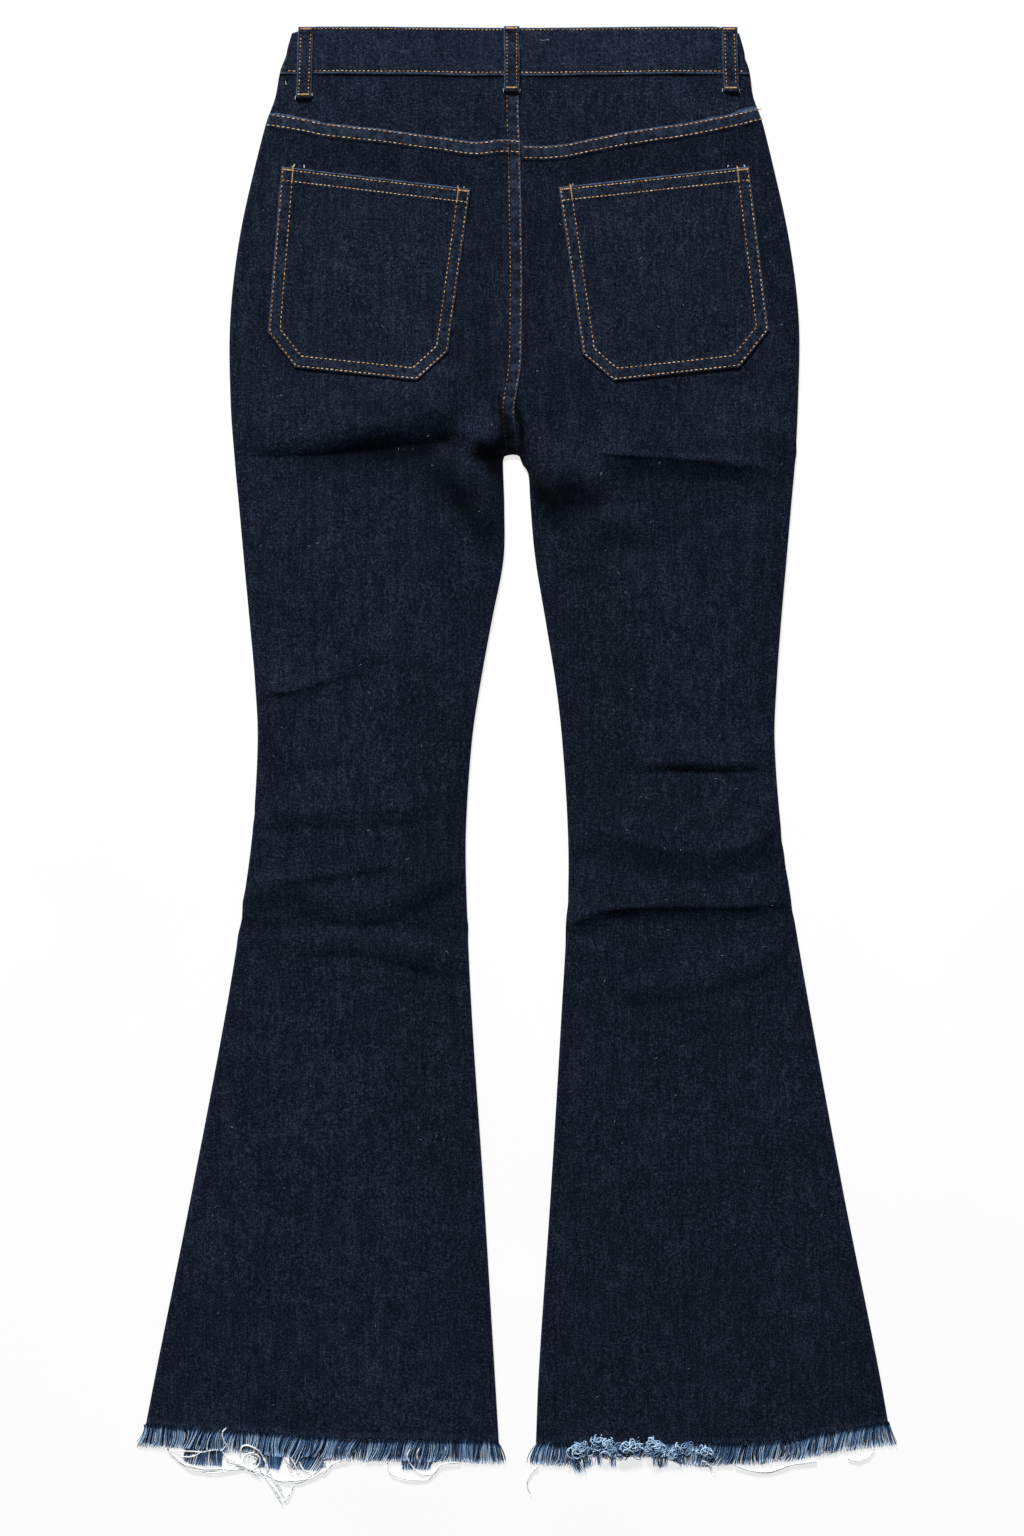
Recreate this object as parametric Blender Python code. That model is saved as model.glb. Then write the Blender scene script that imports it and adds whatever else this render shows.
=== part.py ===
"""Flared jeans laid flat with the back up: every cut piece is a wall of cloth, 0.3 mm from its neighbours.

A point on the garment is given by x (across, the wearer's right is +x), by its distance below the top
of the waistband, and by its height above the surface that the garment lies on, all in millimetres.
"""

import math
from collections import namedtuple

import bmesh
import bpy
from mathutils import Vector

MM = 0.001
ORIGIN_BELOW_WAIST = 576.5  # the origin lies half way down the whole length
CLOTH = 1.2  # wall of one layer of denim
GAP = 0.3  # between neighbouring pieces
HALF_GAP = GAP / 2

BAND_HEIGHT = 38.4
BAND_WALL = 2.2  # the waistband is a folded strip
BAND_LAP = 18.0  # how far each end of the waistband runs past the centre front
BAND_STEP_START = 46.0  # where the under end starts to climb over the other
BAND_CORNER_DROP = 3.5  # the top edge dips where the waistband turns at the sides
BAND_CORNER_REACH = 9.0
BAND_ROWS = 3
BAND_RUN_STEPS = 24
BAND_TURN_STEPS = 6

CROTCH_BELOW = 342.0
CROTCH_X = -1.5
LOOP_WIDTH = 12.5
LOOP_BOW = 1.5
LOOP_FRONT_BOW = 0.5
LOOP_SEWN = 0.06  # share of a loop's length that is sewn down at each end
LOOP_STEP_LENGTH = 8.0  # a back loop steps down from the waistband to the yoke over this length
LOOP_STEPS = 9
FRINGE_LENGTH = 16.0
FRINGE_WALL = 1.0
FRINGE_ROWS = 2
FRINGE_SPLAY = 5.0  # the fringe stands this much wider than the leg at each end
FRONT_HEM_DROP = 3.0  # the front legs are this much longer than the back ones

FRONT_LIFT = 3.4  # the button and the front loops hold the waist up off the surface
SIDE_LIFT = 1.0
LIFT_SPAN = (42.0, 130.0)  # the lift fades between these distances below the waist
LIFT_SIDES = (95.0, 165.0)  # and between these distances from the centre
EDGE_REACH = 26.0  # the back panel rounds down to the front one over this width

# Half of the garment's outline at each distance below the waist: outer and inner edge of each leg.
Outline = namedtuple("Outline", "below left_outer left_inner right_inner right_outer")
OUTLINE = (
    Outline(0, -178.0, -10.4, 11.0, 178.0),
    Outline(40, -188.5, -10.4, 11.0, 187.5),
    Outline(105, -206.5, -10.4, 11.0, 204.0),
    Outline(170, -220.0, -10.4, 11.0, 218.5),
    Outline(235, -227.2, -10.4, 11.0, 225.6),
    Outline(300, -227.2, -10.4, 11.0, 225.8),
    Outline(350, -223.5, -10.4, 11.0, 223.0),
    Outline(385, -220.3, -9.8, 12.5, 219.5),
    Outline(426, -216.8, -11.6, 17.0, 216.0),
    Outline(475, -211.8, -19.6, 25.0, 212.0),
    Outline(525, -207.2, -28.6, 33.0, 208.4),
    Outline(570, -205.6, -35.2, 38.2, 206.6),
    Outline(640, -209.2, -40.0, 42.6, 211.0),
    Outline(690, -216.0, -40.2, 42.8, 218.4),
    Outline(785, -231.0, -36.2, 37.8, 235.0),
    Outline(930, -257.6, -26.6, 29.0, 261.6),
    Outline(1075, -286.4, -17.8, 19.4, 290.4),
    Outline(1140, -299.0, -13.6, 16.6, 301.5),
)

# The seam between the yoke and the legs, and the hem of the back legs.
EdgePoint = namedtuple("EdgePoint", "x below")
YOKE_EDGE = (
    EdgePoint(-200, 72.0),
    EdgePoint(-151, 76.8),
    EdgePoint(-97, 84.2),
    EdgePoint(-32, 92.6),
    EdgePoint(5, 94.4),
    EdgePoint(34, 93.6),
    EdgePoint(88, 84.0),
    EdgePoint(141, 75.6),
    EdgePoint(198, 67.2),
)
HEM_EDGE = (
    EdgePoint(-296, 1119.0),
    EdgePoint(-220, 1124.5),
    EdgePoint(-140, 1130.0),
    EdgePoint(-14, 1132.4),
    EdgePoint(17, 1134.0),
    EdgePoint(110, 1135.0),
    EdgePoint(202, 1133.0),
    EdgePoint(245, 1126.5),
    EdgePoint(299, 1117.5),
)

# The centre-back seam wanders a little towards the crotch.
SeamPoint = namedtuple("SeamPoint", "below x")
BACK_SEAM = (
    SeamPoint(38, 0.0),
    SeamPoint(250, 0.0),
    SeamPoint(297, -3.6),
    SeamPoint(342, CROTCH_X),
)
FRONT_SEAM = (SeamPoint(38, CROTCH_X), SeamPoint(342, CROTCH_X))

# The arch of the crotch: how far below its top it has reached a share of the way to each inseam.
ArchPoint = namedtuple("ArchPoint", "drop share")
LEFT_ARCH = (
    ArchPoint(0.0, 0.0),
    ArchPoint(0.4, 0.6),
    ArchPoint(1.6, 0.9),
    ArchPoint(5.0, 1.0),
)
RIGHT_ARCH = (
    ArchPoint(0.0, 0.0),
    ArchPoint(0.4, 0.4),
    ArchPoint(1.6, 0.56),
    ArchPoint(5.0, 0.7),
    ArchPoint(12.0, 0.93),
    ArchPoint(18.0, 1.0),
)

# Free height between the front and the back layer, in the middle of a leg and at its edges.
Swell = namedtuple("Swell", "below middle edge")
SWELL = (
    Swell(0, 3.6, 1.5),
    Swell(45, 3.6, 1.4),
    Swell(100, 2.4, 0.4),
    Swell(200, 2.1, 0.1),
    Swell(330, 2.0, 0.1),
    Swell(450, 1.7, 0.1),
    Swell(570, 1.5, 0.1),
    Swell(700, 1.7, 0.1),
    Swell(900, 1.5, 0.1),
    Swell(1130, 0.8, 0.1),
)

# The largest folds of the back, each a soft ridge between two ends.
Fold = namedtuple("Fold", "x_from below_from x_to below_to height width")
FOLDS = (
    Fold(-212, 334, -50, 298, 2.4, 17),
    Fold(58, 340, 226, 353, 2.2, 15),
    Fold(-206, 537, -118, 518, 1.2, 13),
    Fold(-212, 690, -110, 672, 1.5, 15),
    Fold(-170, 704, -44, 680, 1.5, 15),
    Fold(80, 650, 214, 646, 2.0, 14),
    Fold(44, 712, 224, 702, 2.2, 14),
)

# A patch pocket's corners, clockwise from its top left.
LEFT_POCKET = (
    EdgePoint(-186.7, 112.3),
    EdgePoint(-35.3, 130.2),
    EdgePoint(-53.4, 260.5),
    EdgePoint(-78.2, 283.7),
    EdgePoint(-175.8, 273.1),
    EdgePoint(-197.4, 245.4),
)
RIGHT_POCKET = (
    EdgePoint(34.7, 128.8),
    EdgePoint(187.1, 112.2),
    EdgePoint(202.9, 243.4),
    EdgePoint(179.7, 272.7),
    EdgePoint(78.6, 283.8),
    EdgePoint(54.3, 262.7),
)

# Belt loops: the centre line at the top and the bottom, and how far down each one reaches.
Loop = namedtuple("Loop", "name x_top x_bottom above below")
BACK_LOOPS = (
    Loop("loop_left", -166.8, -168.8, -0.5, 56.5),
    Loop("loop_centre", -2.5, -2.5, -0.5, 51.0),
    Loop("loop_right", 171.2, 172.7, -0.5, 51.0),
)
FRONT_LOOPS = (
    Loop("loop_front_left", -84.0, -84.0, 0.5, 50.0),
    Loop("loop_front_right", 84.0, 84.0, 0.5, 50.0),
)

# Shares of a panel's width and its rows; the rows are closer at the folds and round the crotch.
BACK_COLUMNS = (0.0, 0.03, 0.09, 0.18, 0.29, 0.41, 0.53, 0.65, 0.76, 0.86, 0.94, 1.0)
FRONT_COLUMNS = (0.0, 0.05, 0.16, 0.34, 0.56, 0.78, 0.93, 1.0)
CROTCH_ROWS = (CROTCH_BELOW, 343.6, 347.0, 354.0, 366.0)
BACK_ROWS = (
    95, 118, 142, 170, 198, 226, 254, 280, 300, 316, 330, *CROTCH_ROWS, 390, 420, 450, 480, 506,
    522, 540, 570, 605, 635, 652, 670, 688, 702, 718, 734, 760, 800, 850, 905, 960, 1015, 1070, 1130,
)
FRONT_ROWS = (
    BAND_HEIGHT + GAP, 58, 78, 100, 130, 180, 240, 300, *CROTCH_ROWS, 410, 470, 530, 590, 650, 720, 800,
    900, 1010, 1130,
)
YOKE_ROWS = 4
EDGE_BLEND = 130.0  # a slanted top edge or hem fades into the level rows over this length

BUTTON_X = -7.0
BUTTON_BELOW = 19.0
BUTTON_RADIUS = 8.5
BUTTON_HEAD = 2.6
BUTTON_RIM = 0.9  # the head's edges are turned in by about this much
BUTTON_SHANK_RADIUS = 3.0
BUTTONHOLE_RADIUS = BUTTON_SHANK_RADIUS + GAP
BUTTON_SIDES = 28

ZIP_TOP = 50.0
ZIP_BOTTOM = 172.0
ZIP_TAPE_WIDTH = 26.0
ZIP_TAPE_WALL = 0.7
ZIP_STEPS = 8
ZIP_TEETH_WIDTH = 5.0
ZIP_TEETH_WALL = 1.2
SLIDER_WIDTH = 8.0
SLIDER_LENGTH = 12.0
SLIDER_PLATE = 0.6
SLIDER_NECK = 3.0

SHARP_ANGLE = math.radians(40)

# Colour, roughness and metallic value of each material.
DENIM = ((0.0168, 0.0212, 0.036), 0.9, 0.0)
FRAYED = ((0.09, 0.14, 0.22), 0.95, 0.0)
BRASS = ((0.55, 0.38, 0.15), 0.4, 1.0)


def clear_scene():
    for item in list(bpy.data.objects):
        bpy.data.objects.remove(item, do_unlink=True)


def material(name, finish):
    colour, roughness, metallic = finish
    made = bpy.data.materials.new(name)
    made.use_nodes = True
    shader = made.node_tree.nodes["Principled BSDF"]
    shader.inputs["Base Color"].default_value = (*colour, 1.0)
    shader.inputs["Roughness"].default_value = roughness
    shader.inputs["Metallic"].default_value = metallic
    return made


def finish_mesh(name, body, finish):
    """Turns a bmesh into a named object with its own material."""
    bmesh.ops.recalc_face_normals(body, faces=body.faces)
    mesh = bpy.data.meshes.new(name)
    body.to_mesh(mesh)
    body.free()
    mesh.shade_smooth()
    mesh.set_sharp_from_angle(angle=SHARP_ANGLE)
    mesh.materials.append(material(name, finish))
    made = bpy.data.objects.new(name, mesh)
    bpy.context.collection.objects.link(made)
    return made


def ramp(value, start, end):
    """0 before start, 1 after end, and smooth between them."""
    share = min(max((value - start) / (end - start), 0.0), 1.0)
    return share * share * (3 - 2 * share)


def along(rows, key, field, at):
    """A smooth curve through one column of a table, read at one value of its key column."""
    last = len(rows) - 1
    at = min(max(at, getattr(rows[0], key)), getattr(rows[last], key))
    i = 0
    while i < last - 1 and getattr(rows[i + 1], key) < at:
        i += 1

    def slope(j):
        before = rows[max(j - 1, 0)]
        after = rows[min(j + 1, last)]
        rise = getattr(after, field) - getattr(before, field)
        return rise / (getattr(after, key) - getattr(before, key))

    span = getattr(rows[i + 1], key) - getattr(rows[i], key)
    t = (at - getattr(rows[i], key)) / span
    start = getattr(rows[i], field)
    end = getattr(rows[i + 1], field)
    curve = (2 * t**3 - 3 * t**2 + 1) * start + (3 * t**2 - 2 * t**3) * end
    return curve + span * ((t**3 - 2 * t**2 + t) * slope(i) + (t**3 - t**2) * slope(i + 1))


def outline(field, below):
    return along(OUTLINE, "below", field, below)


def arch_share(arch, drop):
    """How much of the way to the inseam the arch of the crotch has reached at one drop below its top."""
    for above, beneath in zip(arch, arch[1:]):
        if drop < beneath.drop:
            part = (drop - above.drop) / (beneath.drop - above.drop)
            return above.share + (beneath.share - above.share) * part
    return arch[-1].share


def inner_edge(side, below, seam):
    """The inner edge of one leg: the centre seam, then the arch of the crotch, then the inseam."""
    if below <= CROTCH_BELOW:
        return along(seam, "below", "x", below) + side * HALF_GAP
    inseam = outline("right_inner" if side > 0 else "left_inner", below)
    reach = abs(inseam - CROTCH_X)
    share = arch_share(RIGHT_ARCH if side > 0 else LEFT_ARCH, below - CROTCH_BELOW)
    return CROTCH_X + side * (HALF_GAP + (reach - HALF_GAP) * share)


def outer_edge(side, below):
    return outline("right_outer" if side > 0 else "left_outer", below)


def edge_distance(x, below):
    """How far a point lies inside the outline."""
    side = 1 if x > CROTCH_X else -1
    distance = side * (outer_edge(side, below) - x)
    if below > CROTCH_BELOW:
        distance = min(distance, side * (x - inner_edge(side, below, BACK_SEAM)))
    return max(distance, 0.0)


def fold_height(x, below):
    """How much the folds raise the back layer at a point."""
    raised = 0.0
    for fold in FOLDS:
        run_x = fold.x_to - fold.x_from
        run_below = fold.below_to - fold.below_from
        length = math.hypot(run_x, run_below)
        share = ((x - fold.x_from) * run_x + (below - fold.below_from) * run_below) / length**2
        if 0 < share < 1:
            off = ((below - fold.below_from) * run_x - (x - fold.x_from) * run_below) / length
            taper = math.sin(math.pi * share) ** 0.6
            raised = max(raised, fold.height * taper * math.exp(-((off / fold.width) ** 2)))
    return raised


def front_low(x, below):
    """Height of the front layer's underside."""
    middle = FRONT_LIFT + (SIDE_LIFT - FRONT_LIFT) * ramp(abs(x), *LIFT_SIDES)
    return middle * (1 - ramp(below, *LIFT_SPAN))


def back_low(x, below):
    """Height of the back layer's underside."""
    inside = ramp(edge_distance(x, below), 0.0, EDGE_REACH)
    middle = along(SWELL, "below", "middle", below)
    edge = along(SWELL, "below", "edge", below)
    swell = edge + (middle - edge) * inside + fold_height(x, below) * inside
    return front_low(x, below) + CLOTH + GAP + swell


def place(x, below, height):
    return Vector((x, ORIGIN_BELOW_WAIST - below, height)) * MM


def sheet(rows):
    """A triangulated sheet through rows of (x, below, height) points."""
    body = bmesh.new()
    points = [[body.verts.new(place(*point)) for point in row] for row in rows]
    for upper, lower in zip(points, points[1:]):
        for i in range(len(upper) - 1):
            body.faces.new((upper[i], upper[i + 1], lower[i + 1], lower[i]))
    bmesh.ops.triangulate(body, faces=body.faces)
    return body


def thicken(body, wall):
    """Raises a copy of the sheet by the wall and closes the sides."""
    raised = bmesh.ops.extrude_face_region(body, geom=body.faces[:])
    moved = [part for part in raised["geom"] if isinstance(part, bmesh.types.BMVert)]
    bmesh.ops.translate(body, verts=moved, vec=(0, 0, wall * MM))
    return body


def panel_rows(side, columns, levels, top, hem, seam, height):
    """Rows of one leg panel, from the side to the inner edge, between its top edge and its hem."""
    rows = []
    for level in levels:
        row = []
        for share in columns:
            near = outer_edge(side, level) * (1 - share) + inner_edge(side, level, seam) * share
            up = max(0.0, 1 - (level - levels[0]) / EDGE_BLEND)
            down = max(0.0, 1 - (levels[-1] - level) / EDGE_BLEND)
            below = level + (top(near) - levels[0]) * up + (hem(near) - levels[-1]) * down
            x = outer_edge(side, below) * (1 - share) + inner_edge(side, below, seam) * share
            row.append((x, below, height(x, below)))
        rows.append(row)
    return rows


def yoke_edge(x):
    return along(YOKE_EDGE, "x", "below", x)


def hem_edge(x):
    return along(HEM_EDGE, "x", "below", x)


def back_sheet(side):
    def top(x):
        return yoke_edge(x) + HALF_GAP

    return sheet(panel_rows(side, BACK_COLUMNS, BACK_ROWS, top, hem_edge, BACK_SEAM, back_low))


def make_back(name, side):
    return finish_mesh(name, thicken(back_sheet(side), CLOTH), DENIM)


def make_front(name, side):
    def top(x):
        return BAND_HEIGHT + GAP

    def hem(x):
        return hem_edge(x) + FRONT_HEM_DROP

    rows = panel_rows(side, FRONT_COLUMNS, FRONT_ROWS, top, hem, FRONT_SEAM, front_low)
    return finish_mesh(name, thicken(sheet(rows), CLOTH), DENIM)


def make_yoke(name, side):
    level = BACK_ROWS[0]
    top = BAND_HEIGHT + GAP
    rows = []
    for step in range(YOKE_ROWS + 1):
        row = []
        for share in BACK_COLUMNS:
            near = outer_edge(side, level) * (1 - share) + inner_edge(side, level, BACK_SEAM) * share
            below = top + (yoke_edge(near) - HALF_GAP - top) * step / YOKE_ROWS
            x = outer_edge(side, below) * (1 - share) + inner_edge(side, below, BACK_SEAM) * share
            row.append((x, below, back_low(x, below)))
        rows.append(row)
    return finish_mesh(name, thicken(sheet(rows), CLOTH), DENIM)


def make_pocket(name, side, corners):
    """The part of the back panel inside the pocket's corners, moved out by one layer."""
    body = back_sheet(side)
    for start, end in zip(corners, corners[1:] + corners[:1]):
        run = place(end.x, end.below, 0) - place(start.x, start.below, 0)
        outward = Vector((-run.y, run.x, 0)).normalized()
        parts = body.verts[:] + body.edges[:] + body.faces[:]
        corner = place(start.x, start.below, 0)
        bmesh.ops.bisect_plane(body, geom=parts, plane_co=corner, plane_no=outward, clear_outer=True)
    bmesh.ops.dissolve_degenerate(body, edges=body.edges[:], dist=0.05 * MM)
    bmesh.ops.translate(body, verts=body.verts[:], vec=(0, 0, (CLOTH + GAP) * MM))
    bmesh.ops.triangulate(body, faces=body.faces[:])
    return finish_mesh(name, thicken(body, CLOTH), DENIM)


def band_route(below):
    """The waistband's middle line at one height: right front, right turn, back, left turn, left front."""
    def front_height(x, lap):
        climb = (BAND_WALL + GAP) * ramp(x, -BAND_STEP_START, -BAND_LAP - 2) if lap else 0.0
        return front_low(x, below) + BAND_WALL / 2 + climb

    def back_height(x):
        return back_low(x, below) + BAND_WALL / 2

    def spread(x_from, x_to):
        return [x_from + (x_to - x_from) * i / BAND_RUN_STEPS for i in range(BAND_RUN_STEPS + 1)]

    def turn(side, upward):
        edge = outer_edge(side, below)
        near_edge = edge - side * 2 * BAND_WALL
        radius = (back_low(near_edge, below) - front_low(near_edge, below)) / 2
        centre_x = edge - side * (radius + BAND_WALL / 2)
        low = front_height(centre_x, False)
        high = back_height(centre_x)
        points = []
        for i in range(1, BAND_TURN_STEPS):
            angle = math.pi * (i / BAND_TURN_STEPS - 0.5) * (1 if upward else -1)
            middle = (low + high) / 2 + (high - low) / 2 * math.sin(angle)
            points.append((centre_x + side * radius * math.cos(angle), middle))
        return centre_x, points

    right_x, right_turn = turn(1, True)
    left_x, left_turn = turn(-1, False)
    points = [(x, front_height(x, False)) for x in spread(-BAND_LAP, right_x)]
    points += right_turn
    points += [(x, back_height(x)) for x in spread(right_x, left_x)]
    points += left_turn
    points += [(x, front_height(x, True)) for x in spread(left_x, BAND_LAP)]
    return points


def corner_drop(x):
    """The top edge of the waistband dips towards the sides."""
    distance = edge_distance(x, 0.0)
    return BAND_CORNER_DROP * (1 - ramp(distance, 0.0, BAND_CORNER_REACH))


def make_waistband():
    rows = []
    for step in range(BAND_ROWS + 1):
        share = step / BAND_ROWS
        row = []
        for x, height in band_route(BAND_HEIGHT * share):
            row.append((x, BAND_HEIGHT * share + corner_drop(x) * (1 - share), height))
        rows.append(row)
    band = finish_mesh("waistband", sheet(rows), DENIM)
    thicker = band.modifiers.new("cloth", "SOLIDIFY")
    thicker.thickness = BAND_WALL * MM
    thicker.offset = 0.0
    hole = make_buttonhole()
    cut = band.modifiers.new("buttonhole", "BOOLEAN")
    cut.object = hole
    cut.operation = "DIFFERENCE"
    cut.solver = "EXACT"


def make_buttonhole():
    """A cutter through the over end of the waistband only."""
    body = bmesh.new()
    low = front_low(BUTTON_X, BUTTON_BELOW)
    bmesh.ops.create_cone(
        body,
        cap_ends=True,
        segments=BUTTON_SIDES,
        radius1=BUTTONHOLE_RADIUS * MM,
        radius2=BUTTONHOLE_RADIUS * MM,
        depth=(BAND_WALL + GAP) * MM,
    )
    bmesh.ops.translate(body, verts=body.verts, vec=place(BUTTON_X, BUTTON_BELOW, low + BAND_WALL / 2))
    hole = finish_mesh("buttonhole_cutter", body, DENIM)
    hole.hide_render = True
    hole.display_type = "WIRE"
    return hole


def make_button():
    """Turned profile: a domed head on the surface and a shank up through the buttonhole."""
    top = front_low(BUTTON_X, BUTTON_BELOW) + BAND_WALL
    profile = (
        (0.0, 0.0),
        (BUTTON_RADIUS - BUTTON_RIM, 0.0),
        (BUTTON_RADIUS, BUTTON_RIM),
        (BUTTON_RADIUS, BUTTON_HEAD - BUTTON_RIM / 2),
        (BUTTON_RADIUS - BUTTON_RIM, BUTTON_HEAD),
        (BUTTON_SHANK_RADIUS, BUTTON_HEAD),
        (BUTTON_SHANK_RADIUS, top),
        (0.0, top),
    )
    body = bmesh.new()
    centre = place(BUTTON_X, BUTTON_BELOW, 0)
    points = [body.verts.new(centre + Vector((radius, 0, height)) * MM) for radius, height in profile]
    edges = [body.edges.new(pair) for pair in zip(points, points[1:])]
    bmesh.ops.spin(
        body, geom=points + edges, cent=centre, axis=(0, 0, 1), angle=math.tau, steps=BUTTON_SIDES
    )
    bmesh.ops.remove_doubles(body, verts=body.verts, dist=0.01 * MM)
    finish_mesh("waist_button", body, BRASS)


def make_loop(loop, outside):
    """A belt loop that follows the face below it, bowed between its two sewn ends."""
    rows = []
    for i in range(LOOP_STEPS + 1):
        share = i / LOOP_STEPS
        below = loop.above + (loop.below - loop.above) * share
        middle = loop.x_top + (loop.x_bottom - loop.x_top) * share
        bow = math.sin(math.pi * ramp(share, LOOP_SEWN, 1 - LOOP_SEWN)) ** 0.8
        row = []
        for across in (-0.5, 0.0, 0.5):
            x = middle + across * LOOP_WIDTH
            row.append((x, below, outside(x, below, bow)))
        rows.append(row)
    finish_mesh(loop.name, thicken(sheet(rows), CLOTH), DENIM)


def over_back(x, below, bow):
    """Underside of a loop on the back: above the waistband, then down onto the yoke."""
    on_band = back_low(x, max(below, 0.0)) + BAND_WALL + GAP
    on_yoke = back_low(x, below) + CLOTH + GAP
    step = ramp(below, BAND_HEIGHT + 1, BAND_HEIGHT + 1 + LOOP_STEP_LENGTH)
    return on_band + (on_yoke - on_band) * step + LOOP_BOW * bow


def under_front(x, below, bow):
    """Underside of a loop on the front, which hangs below the front layer's underside."""
    return front_low(x, max(below, 0.0)) - GAP - CLOTH - LOOP_FRONT_BOW * bow


def make_zip():
    """Two tapes as one strip behind the fly, with the closed row of teeth along its middle."""
    rows = []
    half_tape = ZIP_TAPE_WIDTH / 2
    half_teeth = ZIP_TEETH_WIDTH / 2
    above_front = CLOTH + 2 * GAP + SLIDER_PLATE
    tape_low = (ZIP_TEETH_WALL - ZIP_TAPE_WALL) / 2
    tape_high = tape_low + ZIP_TAPE_WALL
    section = (
        (-half_tape, tape_low),
        (-half_teeth, tape_low),
        (-half_teeth, 0.0),
        (half_teeth, 0.0),
        (half_teeth, tape_low),
        (half_tape, tape_low),
        (half_tape, tape_high),
        (half_teeth, tape_high),
        (half_teeth, ZIP_TEETH_WALL),
        (-half_teeth, ZIP_TEETH_WALL),
        (-half_teeth, tape_high),
        (-half_tape, tape_high),
    )
    for i in range(ZIP_STEPS + 1):
        below = ZIP_TOP + (ZIP_BOTTOM - ZIP_TOP) * i / ZIP_STEPS
        low = front_low(0.0, below) + above_front
        rows.append([(x, below, low + height) for x, height in section])
    body = bmesh.new()
    points = [[body.verts.new(place(*point)) for point in row] for row in rows]
    for upper, lower in zip(points, points[1:]):
        for i in range(len(upper)):
            j = (i + 1) % len(upper)
            body.faces.new((upper[i], upper[j], lower[j], lower[i]))
    body.faces.new(points[0])
    body.faces.new(points[-1])
    finish_mesh("fly_zip", body, BRASS)


def make_slider():
    """Two plates round the top of the teeth, joined by a neck past their end."""
    above_front = CLOTH + GAP
    low = front_low(0.0, ZIP_TOP) + above_front
    high = low + 2 * SLIDER_PLATE + 2 * GAP + ZIP_TEETH_WALL
    neck_top = ZIP_TOP - GAP - SLIDER_NECK
    neck_bottom = ZIP_TOP - GAP
    plate_end = neck_top + SLIDER_LENGTH
    drop = front_low(0.0, plate_end) - front_low(0.0, ZIP_TOP)
    side_view = (
        (neck_top, low),
        (plate_end, low + drop),
        (plate_end, low + SLIDER_PLATE + drop),
        (neck_bottom, low + SLIDER_PLATE),
        (neck_bottom, high - SLIDER_PLATE),
        (plate_end, high - SLIDER_PLATE + drop),
        (plate_end, high + drop),
        (neck_top, high),
    )
    body = bmesh.new()
    half = SLIDER_WIDTH / 2
    left = [body.verts.new(place(-half, below, height)) for below, height in side_view]
    right = [body.verts.new(place(half, below, height)) for below, height in side_view]
    body.faces.new(left)
    body.faces.new(right)
    for i in range(len(left)):
        j = (i + 1) % len(left)
        body.faces.new((left[i], left[j], right[j], right[i]))
    finish_mesh("zip_slider", body, BRASS)


def make_fringe(name, side, columns, drop, height):
    """The frayed hem of one panel as a plain strip of the threads' reach."""
    level = BACK_ROWS[-1]
    rows = []
    for step in range(FRINGE_ROWS + 1):
        share_down = step / FRINGE_ROWS
        row = []
        for share in columns:
            near = outer_edge(side, level) * (1 - share) + inner_edge(side, level, BACK_SEAM) * share
            below = hem_edge(near) + drop
            x = outer_edge(side, below) * (1 - share) + inner_edge(side, below, BACK_SEAM) * share
            low = height(x, below)
            x += side * (1 - 2 * share) * FRINGE_SPLAY * share_down
            row.append((x, below + GAP + (FRINGE_LENGTH - GAP) * share_down, low))
        rows.append(row)
    finish_mesh(name, thicken(sheet(rows), FRINGE_WALL), FRAYED)


def main():
    clear_scene()
    make_waistband()
    make_button()
    make_zip()
    make_slider()
    for side, word, corners in ((-1, "left", LEFT_POCKET), (1, "right", RIGHT_POCKET)):
        make_yoke(f"yoke_{word}", side)
        make_back(f"back_{word}", side)
        make_front(f"front_{word}", side)
        make_pocket(f"pocket_{word}", side, corners)
        make_fringe(f"fringe_back_{word}", side, BACK_COLUMNS, 0.0, back_low)
        make_fringe(f"fringe_front_{word}", side, FRONT_COLUMNS, FRONT_HEM_DROP, front_low)
    for loop in BACK_LOOPS:
        make_loop(loop, over_back)
    for loop in FRONT_LOOPS:
        make_loop(loop, under_front)


main()
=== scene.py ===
"""The looks of flared jeans laid flat with the back up: cloth, seams, stitches, frayed hems and light.

A point is given as in the CAD: x across, its distance below the top of the waistband, and its height
above the floor, all in millimetres. Heights and outlines are numpy functions of x and below.
"""

import math
from collections import namedtuple
from functools import partial

import bpy
import numpy as np
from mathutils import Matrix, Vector


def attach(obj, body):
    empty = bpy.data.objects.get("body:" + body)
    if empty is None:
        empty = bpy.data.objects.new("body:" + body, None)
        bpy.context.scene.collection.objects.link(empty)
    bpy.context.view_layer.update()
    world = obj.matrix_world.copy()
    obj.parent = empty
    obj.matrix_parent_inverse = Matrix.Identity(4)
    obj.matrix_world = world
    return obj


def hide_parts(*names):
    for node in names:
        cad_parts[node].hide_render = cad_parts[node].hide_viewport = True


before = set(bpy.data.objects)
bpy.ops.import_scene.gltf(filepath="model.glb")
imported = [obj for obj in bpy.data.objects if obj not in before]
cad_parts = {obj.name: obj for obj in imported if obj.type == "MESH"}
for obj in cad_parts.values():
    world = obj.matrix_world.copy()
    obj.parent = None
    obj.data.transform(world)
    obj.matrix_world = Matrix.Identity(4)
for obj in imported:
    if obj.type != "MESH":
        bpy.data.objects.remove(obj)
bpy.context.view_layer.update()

MM = 0.001
ORIGIN_BELOW_WAIST = 576.5  # how far the frame's origin lies below the top of the waistband
CLOTH = 1.2  # wall of the CAD's cloth
GAP = 0.3  # between two pieces of the CAD
BAND_HEIGHT = 38.4
BAND_WALL = 2.2
BAND_SIDE = 178.0  # half of the waistband's width as it lies
BAND_LAP = 18.0  # each end of the waistband passes the centre of the front by this much
BAND_STEP_START = 46.0  # from here the upper end climbs over the lower one
BAND_CORNER_DROP = 5.4  # the top edge drops by this much at the waistband's two sides
BAND_CORNER_REACH = 18.0
CROTCH_BELOW = 342.0
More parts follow.
